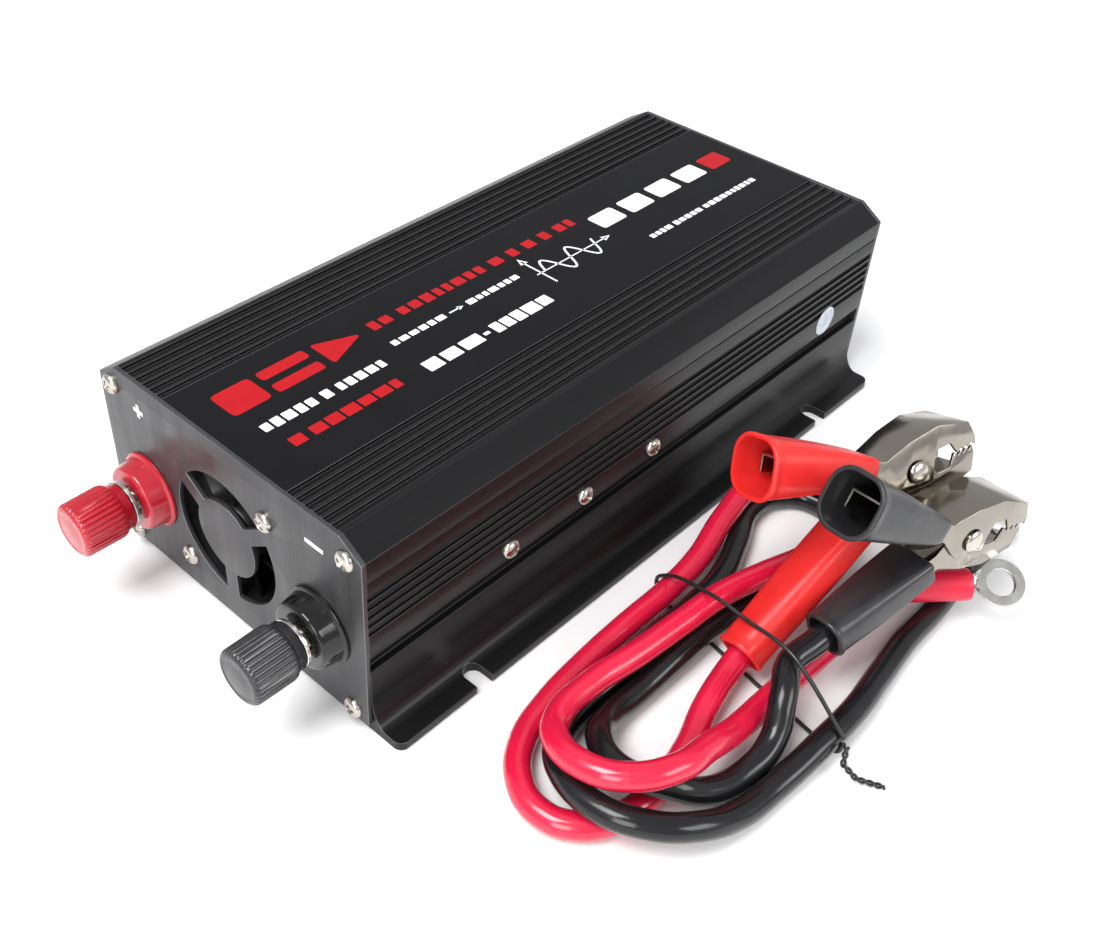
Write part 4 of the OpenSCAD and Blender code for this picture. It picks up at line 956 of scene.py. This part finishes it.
def boot(name, matrix, mirrored, material, end, end_section):
    """A sleeve along a handle: outside skin, rolled rim and a hollow mouth."""
    def ring(s, inset):
        u = max(0.0, min(1.0, (s - BOOT_START) / (end - BOOT_START)))
        belly = BELLY * math.sin(math.pi * min(1.0, u * 1.15)) if u < 0.87 else 0
        half_y, half_t, r = (a + (b - a) * u for a, b in zip(START_SECTION, end_section))
        half_y += belly * 0.4 - inset
        half_t += belly - inset
        r = min(max(0.5, r - inset), half_y - 0.05, half_t - 0.05)
        return [(s, y, t) for y, t in rounded_section(half_y, half_t, r)]

    skin, mouth = end - BOOT_START - 2.6, end - 0.9
    stations = [(BOOT_START + 0.1, BOOT_WALL * 0.98), (BOOT_START, BOOT_WALL * 0.55),
                (BOOT_START + 0.15, 0.2), (BOOT_START + 0.7, 0.0)]
    stations += [(BOOT_START + 0.7 + skin * k / SKIN_STEPS, 0.0) for k in range(1, SKIN_STEPS + 1)]
    stations += [(end - 1.7, -0.12), (end - 1.2, -0.3), (end - 0.5, -0.3), (end - 0.05, 0.05),
                 (end, BOOT_WALL * 0.5), (end - 0.15, BOOT_WALL * 0.95), (mouth, BOOT_WALL)]
    stations += [(mouth - (BOOT_DEEP - 0.9) * k / MOUTH_STEPS, BOOT_WALL)
                 for k in range(1, MOUTH_STEPS + 1)]
    rings = [ring(s, inset) for s, inset in stations]
    c, d = math.cos(HANDLE_ANGLE), math.sin(HANDLE_ANGLE)
    verts = [(t * d - s * c, y, s * d + t * c) for points in rings for s, y, t in points]
    obj = mesh_object(name, verts, ring_faces(len(rings), len(rings[0])), material, 60)
    move(obj, matrix @ FLIP if mirrored else matrix)
    clean(obj.data, MERGE_SKIN, face_out=True)
    return obj


def clip_boots(colour, clip, material, low_end):
    """The boots of the opening and of the fixed handle."""
    top = boot(colour + "_boot_top", clip, False, material, UPPER_END, UPPER_SECTION)
    low = boot(colour + "_boot_base", clip, True, material, low_end, LOWER_SECTION)
    settle(top, colour + "_clip_top", "boot_" + colour, colour + "_boot_upper")
    settle(low, "lead_set", "boot_" + colour, colour + "_boot_lower")
    return top, low


def clip_jaws(colour):
    """The opening and the fixed half of the sheet-metal clip."""
    jaws = []
    for part, body in (("_clip_upper", colour + "_clip_top"), ("_clip_lower", "lead_set")):
        jaw = copy_node(colour + part, 0.22, clip_metal, 2, 28)
        jaws.append(settle(jaw, body, "clip_nickel", colour + part))
    return jaws


red_up, red_low = clip_boots("red", RED_CLIP, boot_red, 76)
black_up, black_low = clip_boots("black", BLACK_CLIP, boot_black, 54)
red_jaw, red_jaw_low = clip_jaws("red")
black_jaw, black_jaw_low = clip_jaws("black")

RIVET_HALF = 7.8
RIVET_HEAD = [(0, 1.1), (1.6, 1.02), (2.7, 0.75), (3.4, 0.3), (3.6, 0), (2.2, 0)]
profile = [(r, RIVET_HALF + z) for r, z in RIVET_HEAD]
profile = profile + [(2.2, 0)] + [(r, -z) for r, z in reversed(profile)]
rivets = [lathe("rivet", profile, rivet_metal, 40, clip @ Matrix.Rotation(math.pi / 2, 4, "X"))
          for clip in (RED_CLIP, BLACK_CLIP)]
settle(join("rivets", rivets), "lead_set", "rivet_metal", "clip_rivets")
COIL_R, SPRING_WIRE, COILS, COIL_TURNS, COIL_STEPS = 3.15, 0.75, 4, 4.02, 16
COIL_HALF = 1.5 * SPRING_WIRE * 1.8
LEG, LEG_ANGLE = 13, math.radians(14)


def spring(name, clip):
    """Four close coils round the rivet and a leg to each handle."""
    c, d, total = math.cos(LEG_ANGLE), math.sin(LEG_ANGLE), COILS * COIL_STEPS
    pts = [(-LEG * c - COIL_R * d, -COIL_HALF, -LEG * d - COIL_R * c)]
    for k in range(total + 1):
        a = -math.pi / 2 - LEG_ANGLE + 2 * math.pi * COIL_TURNS * k / total
        y = -COIL_HALF + 2 * COIL_HALF * k / total
        pts.append((COIL_R * math.cos(a), y, COIL_R * math.sin(a)))
    pts.append((-LEG, COIL_HALF, 1.0))
    pts = [tuple(clip @ Vector(p)) for p in pts]
    return smooth_curve(name, pts, SPRING_WIRE, spring_metal, 3, 3)


spring_parts = [applied(spring("spring_a", RED_CLIP)), applied(spring("spring_b", BLACK_CLIP))]
settle(join("springs", spring_parts), "lead_set", "spring_steel", "clip_springs")

# ---- ring terminals ----
RED_RING = turned((44, -160, 14.5), Z=-45, Y=-3.2, X=30)
BLACK_RING = turned((80, -143, 5.2), Z=6)
ALONG = Matrix.Rotation(-math.pi / 2, 4, "Y")
EYE = [(4.2, -0.5), (4.5, -0.8), (7.2, -0.8), (7.5, -0.5), (7.5, 0.5), (7.2, 0.8), (4.5, 0.8),
       (4.2, 0.5), (4.2, -0.5)]
BARREL = [(2.9, 9.4), (3.6, 9.4), (3.9, 9.7), (3.9, 21.7), (3.6, 22.0), (0, 22.0)]
BARREL_OUT, BARREL_IN, TONGUE_HALF_T = 3.9, 2.9, 0.8
# each station of the tongue: x, half width, how far it is curled
TONGUE = [(-5.6, 4.6, 0.0), (-7.2, 4.0, 0.12), (-8.6, 3.6, 0.5), (-9.8, 3.7, 1.0)]
ACROSS = 13
SLEEVE = [(4.0, 9.8), (4.35, 9.6), (4.75, 9.8), (4.95, 10.4), (5.05, 12.0), (5.1, 16.0),
          (5.1, 27.0), (5.0, 29.0), (4.85, 30.4), (4.5, 31.0), (4.1, 31.0), (4.02, 30.0),
          (4.02, 22.0), (3.95, 21.0), (3.95, 10.5), (4.0, 9.8)]


def tongue():
    """Narrows from the eye and curls up into the barrel."""
    verts, faces = [], []
    for x, half, curl in TONGUE:
        for side, r in ((-1, BARREL_OUT), (1, BARREL_IN)):
            for u in [2 * k / (ACROSS - 1) - 1 for k in range(ACROSS)]:
                a = u * math.pi * 0.98
                verts.append((x, u * half * (1 - curl) + r * math.sin(a) * curl,
                              side * TONGUE_HALF_T * (1 - curl) - r * math.cos(a) * curl))
    row = 2 * ACROSS
    for i in range(len(TONGUE) - 1):
        for k in range(ACROSS - 1):
            a, b = i * row + k, i * row + k + 1
            faces.append((a, b, b + row, a + row))
            faces.append((a + ACROSS + row, b + ACROSS + row, b + ACROSS, a + ACROSS))
        for k in (0, ACROSS - 1):
            a = i * row + k
            faces.append((a, a + row, a + row + ACROSS, a + ACROSS))
    return mesh_object("tongue", verts, faces, terminal_metal, 40)


def ring_terminal(name, matrix):
    eye = lathe("eye", EYE, terminal_metal)
    barrel = lathe("barrel", BARREL, terminal_metal, 40, ALONG)
    return move(join(name, [eye, tongue(), barrel]), matrix)


def sleeve(name, matrix, material):
    """A soft sleeve over the crimp and the end of the cable."""
    return move(lathe(name, SLEEVE, material, 48, ALONG), matrix)


RINGS = (("red", RED_RING, sleeve_red), ("black", BLACK_RING, sleeve_black))
red_eye, black_eye = [settle(ring_terminal(c + "_eye", ring), "lead_set", "terminal_zinc",
                             c + "_ring_terminal") for c, ring, _ in RINGS]
red_sleeve, black_sleeve = [settle(sleeve(c + "_sleeve", ring, look), "lead_set", "sleeve_" + c,
                                   c + "_terminal_sleeve") for c, ring, look in RINGS]

# ---- wire tie: a loop round the hank and two twisted ends ----

TIE_ROUTE = [
    (-37.2, -156.7, 7), (-37.1, -155.4, 2.4), (-36.4, -151.5, 0.9), (-35.7, -147.5, 0.9),
    (-30.6, -118.5, 0.9), (-25.5, -89.4, 0.9), (-24.8, -85.4, 0.9), (-24.2, -82.2, 2.5),
    (-23.9, -80.5, 6.2), (-24.2, -82.2, 10), (-27.6, -101.3, 18.9), (-30, -117, 20.6),
    (-33, -132.2, 22.6), (-34, -137, 21.4), (-37, -154.9, 9.9), (-37.2, -156.4, 8.9)
]
TIE_TAIL = [(-38.2, -158, 8), (-41, -159.5, 4), (-40.5, -164, 1.4), (-37, -171, 0.9)]


def twisted(points, radius, turns, n=80):
    """Two strands wound round a path."""
    ends = [Vector(p) for p in points]
    lengths = [0.0]
    for a, b in zip(ends, ends[1:]):
        lengths.append(lengths[-1] + (b - a).length)
    strands = [[], []]
    for k in range(n + 1):
        s = lengths[-1] * k / n
        i = max(j for j in range(len(ends) - 1) if lengths[j] <= s + 1e-9)
        t = (s - lengths[i]) / (lengths[i + 1] - lengths[i])
        p = ends[i].lerp(ends[i + 1], t)
        d = (ends[i + 1] - ends[i]).normalized()
        a = d.cross(Vector((0, 0, 1))).normalized()
        b = d.cross(a)
        w = 2 * math.pi * turns * k / n
        for j, sign in enumerate((1, -1)):
            strands[j].append(tuple(p + sign * radius * (math.cos(w) * a + math.sin(w) * b)))
    return strands


tie_parts = [applied(smooth_curve("tie_loop", TIE_ROUTE, 0.62, tie_mat, 6, 3))]
for j, strand in enumerate(twisted(TIE_TAIL, 0.5, 4)):
    tie_parts.append(applied(smooth_curve("tie_strand_%d" % j, strand, 0.42, tie_mat, 2, 3)))
tie = settle(join("wire_tie", tie_parts), "lead_set", "tie_black", "cable_tie")

# ---- floor and light, in metres ----
FLOOR_HALF, FLOOR_Z = 6, -0.0002
floor_mat = bpy.data.materials.new("floor")
floor_mat.use_nodes = True
floor_bsdf = floor_mat.node_tree.nodes["Principled BSDF"]
floor_bsdf.inputs["Base Color"].default_value = (0.9, 0.9, 0.9, 1)
floor_bsdf.inputs["Roughness"].default_value = 0.7
floor_mesh = bpy.data.meshes.new("floor")
floor_mesh.from_pydata([(x * FLOOR_HALF, y * FLOOR_HALF, FLOOR_Z) for x, y in (
    (-1, -1), (1, -1), (1, 1), (-1, 1))], [], [(0, 1, 2, 3)])
floor_mesh.materials.append(floor_mat)
floor = link(bpy.data.objects.new("floor", floor_mesh))

world = bpy.data.worlds.new("studio")
scene.world = world
world.use_nodes = True
background = world.node_tree.nodes["Background"]
background.inputs["Color"].default_value = (0.97, 0.98, 1.0, 1)
background.inputs["Strength"].default_value = 0.6


def area(name, at, target, size, power):
    light = bpy.data.lights.new(name, "AREA")
    light.shape = "RECTANGLE"
    light.size, light.size_y = size
    light.energy = power
    obj = link(bpy.data.objects.new(name, light))
    obj.location = at
    obj.rotation_euler = (Vector(target) - Vector(at)).to_track_quat("-Z", "Y").to_euler()


area("key", (-0.8, 0.1, 1.5), (0, 0, 0.03), (0.8, 0.8), 26)
area("fill", (0.4, -1.5, 0.9), (0, -0.05, 0.02), (1.0, 0.6), 12)
area("side", (-1.3, -0.6, 0.7), (0, 0, 0.03), (0.6, 0.8), 10)
scene.view_settings.view_transform = "Standard"
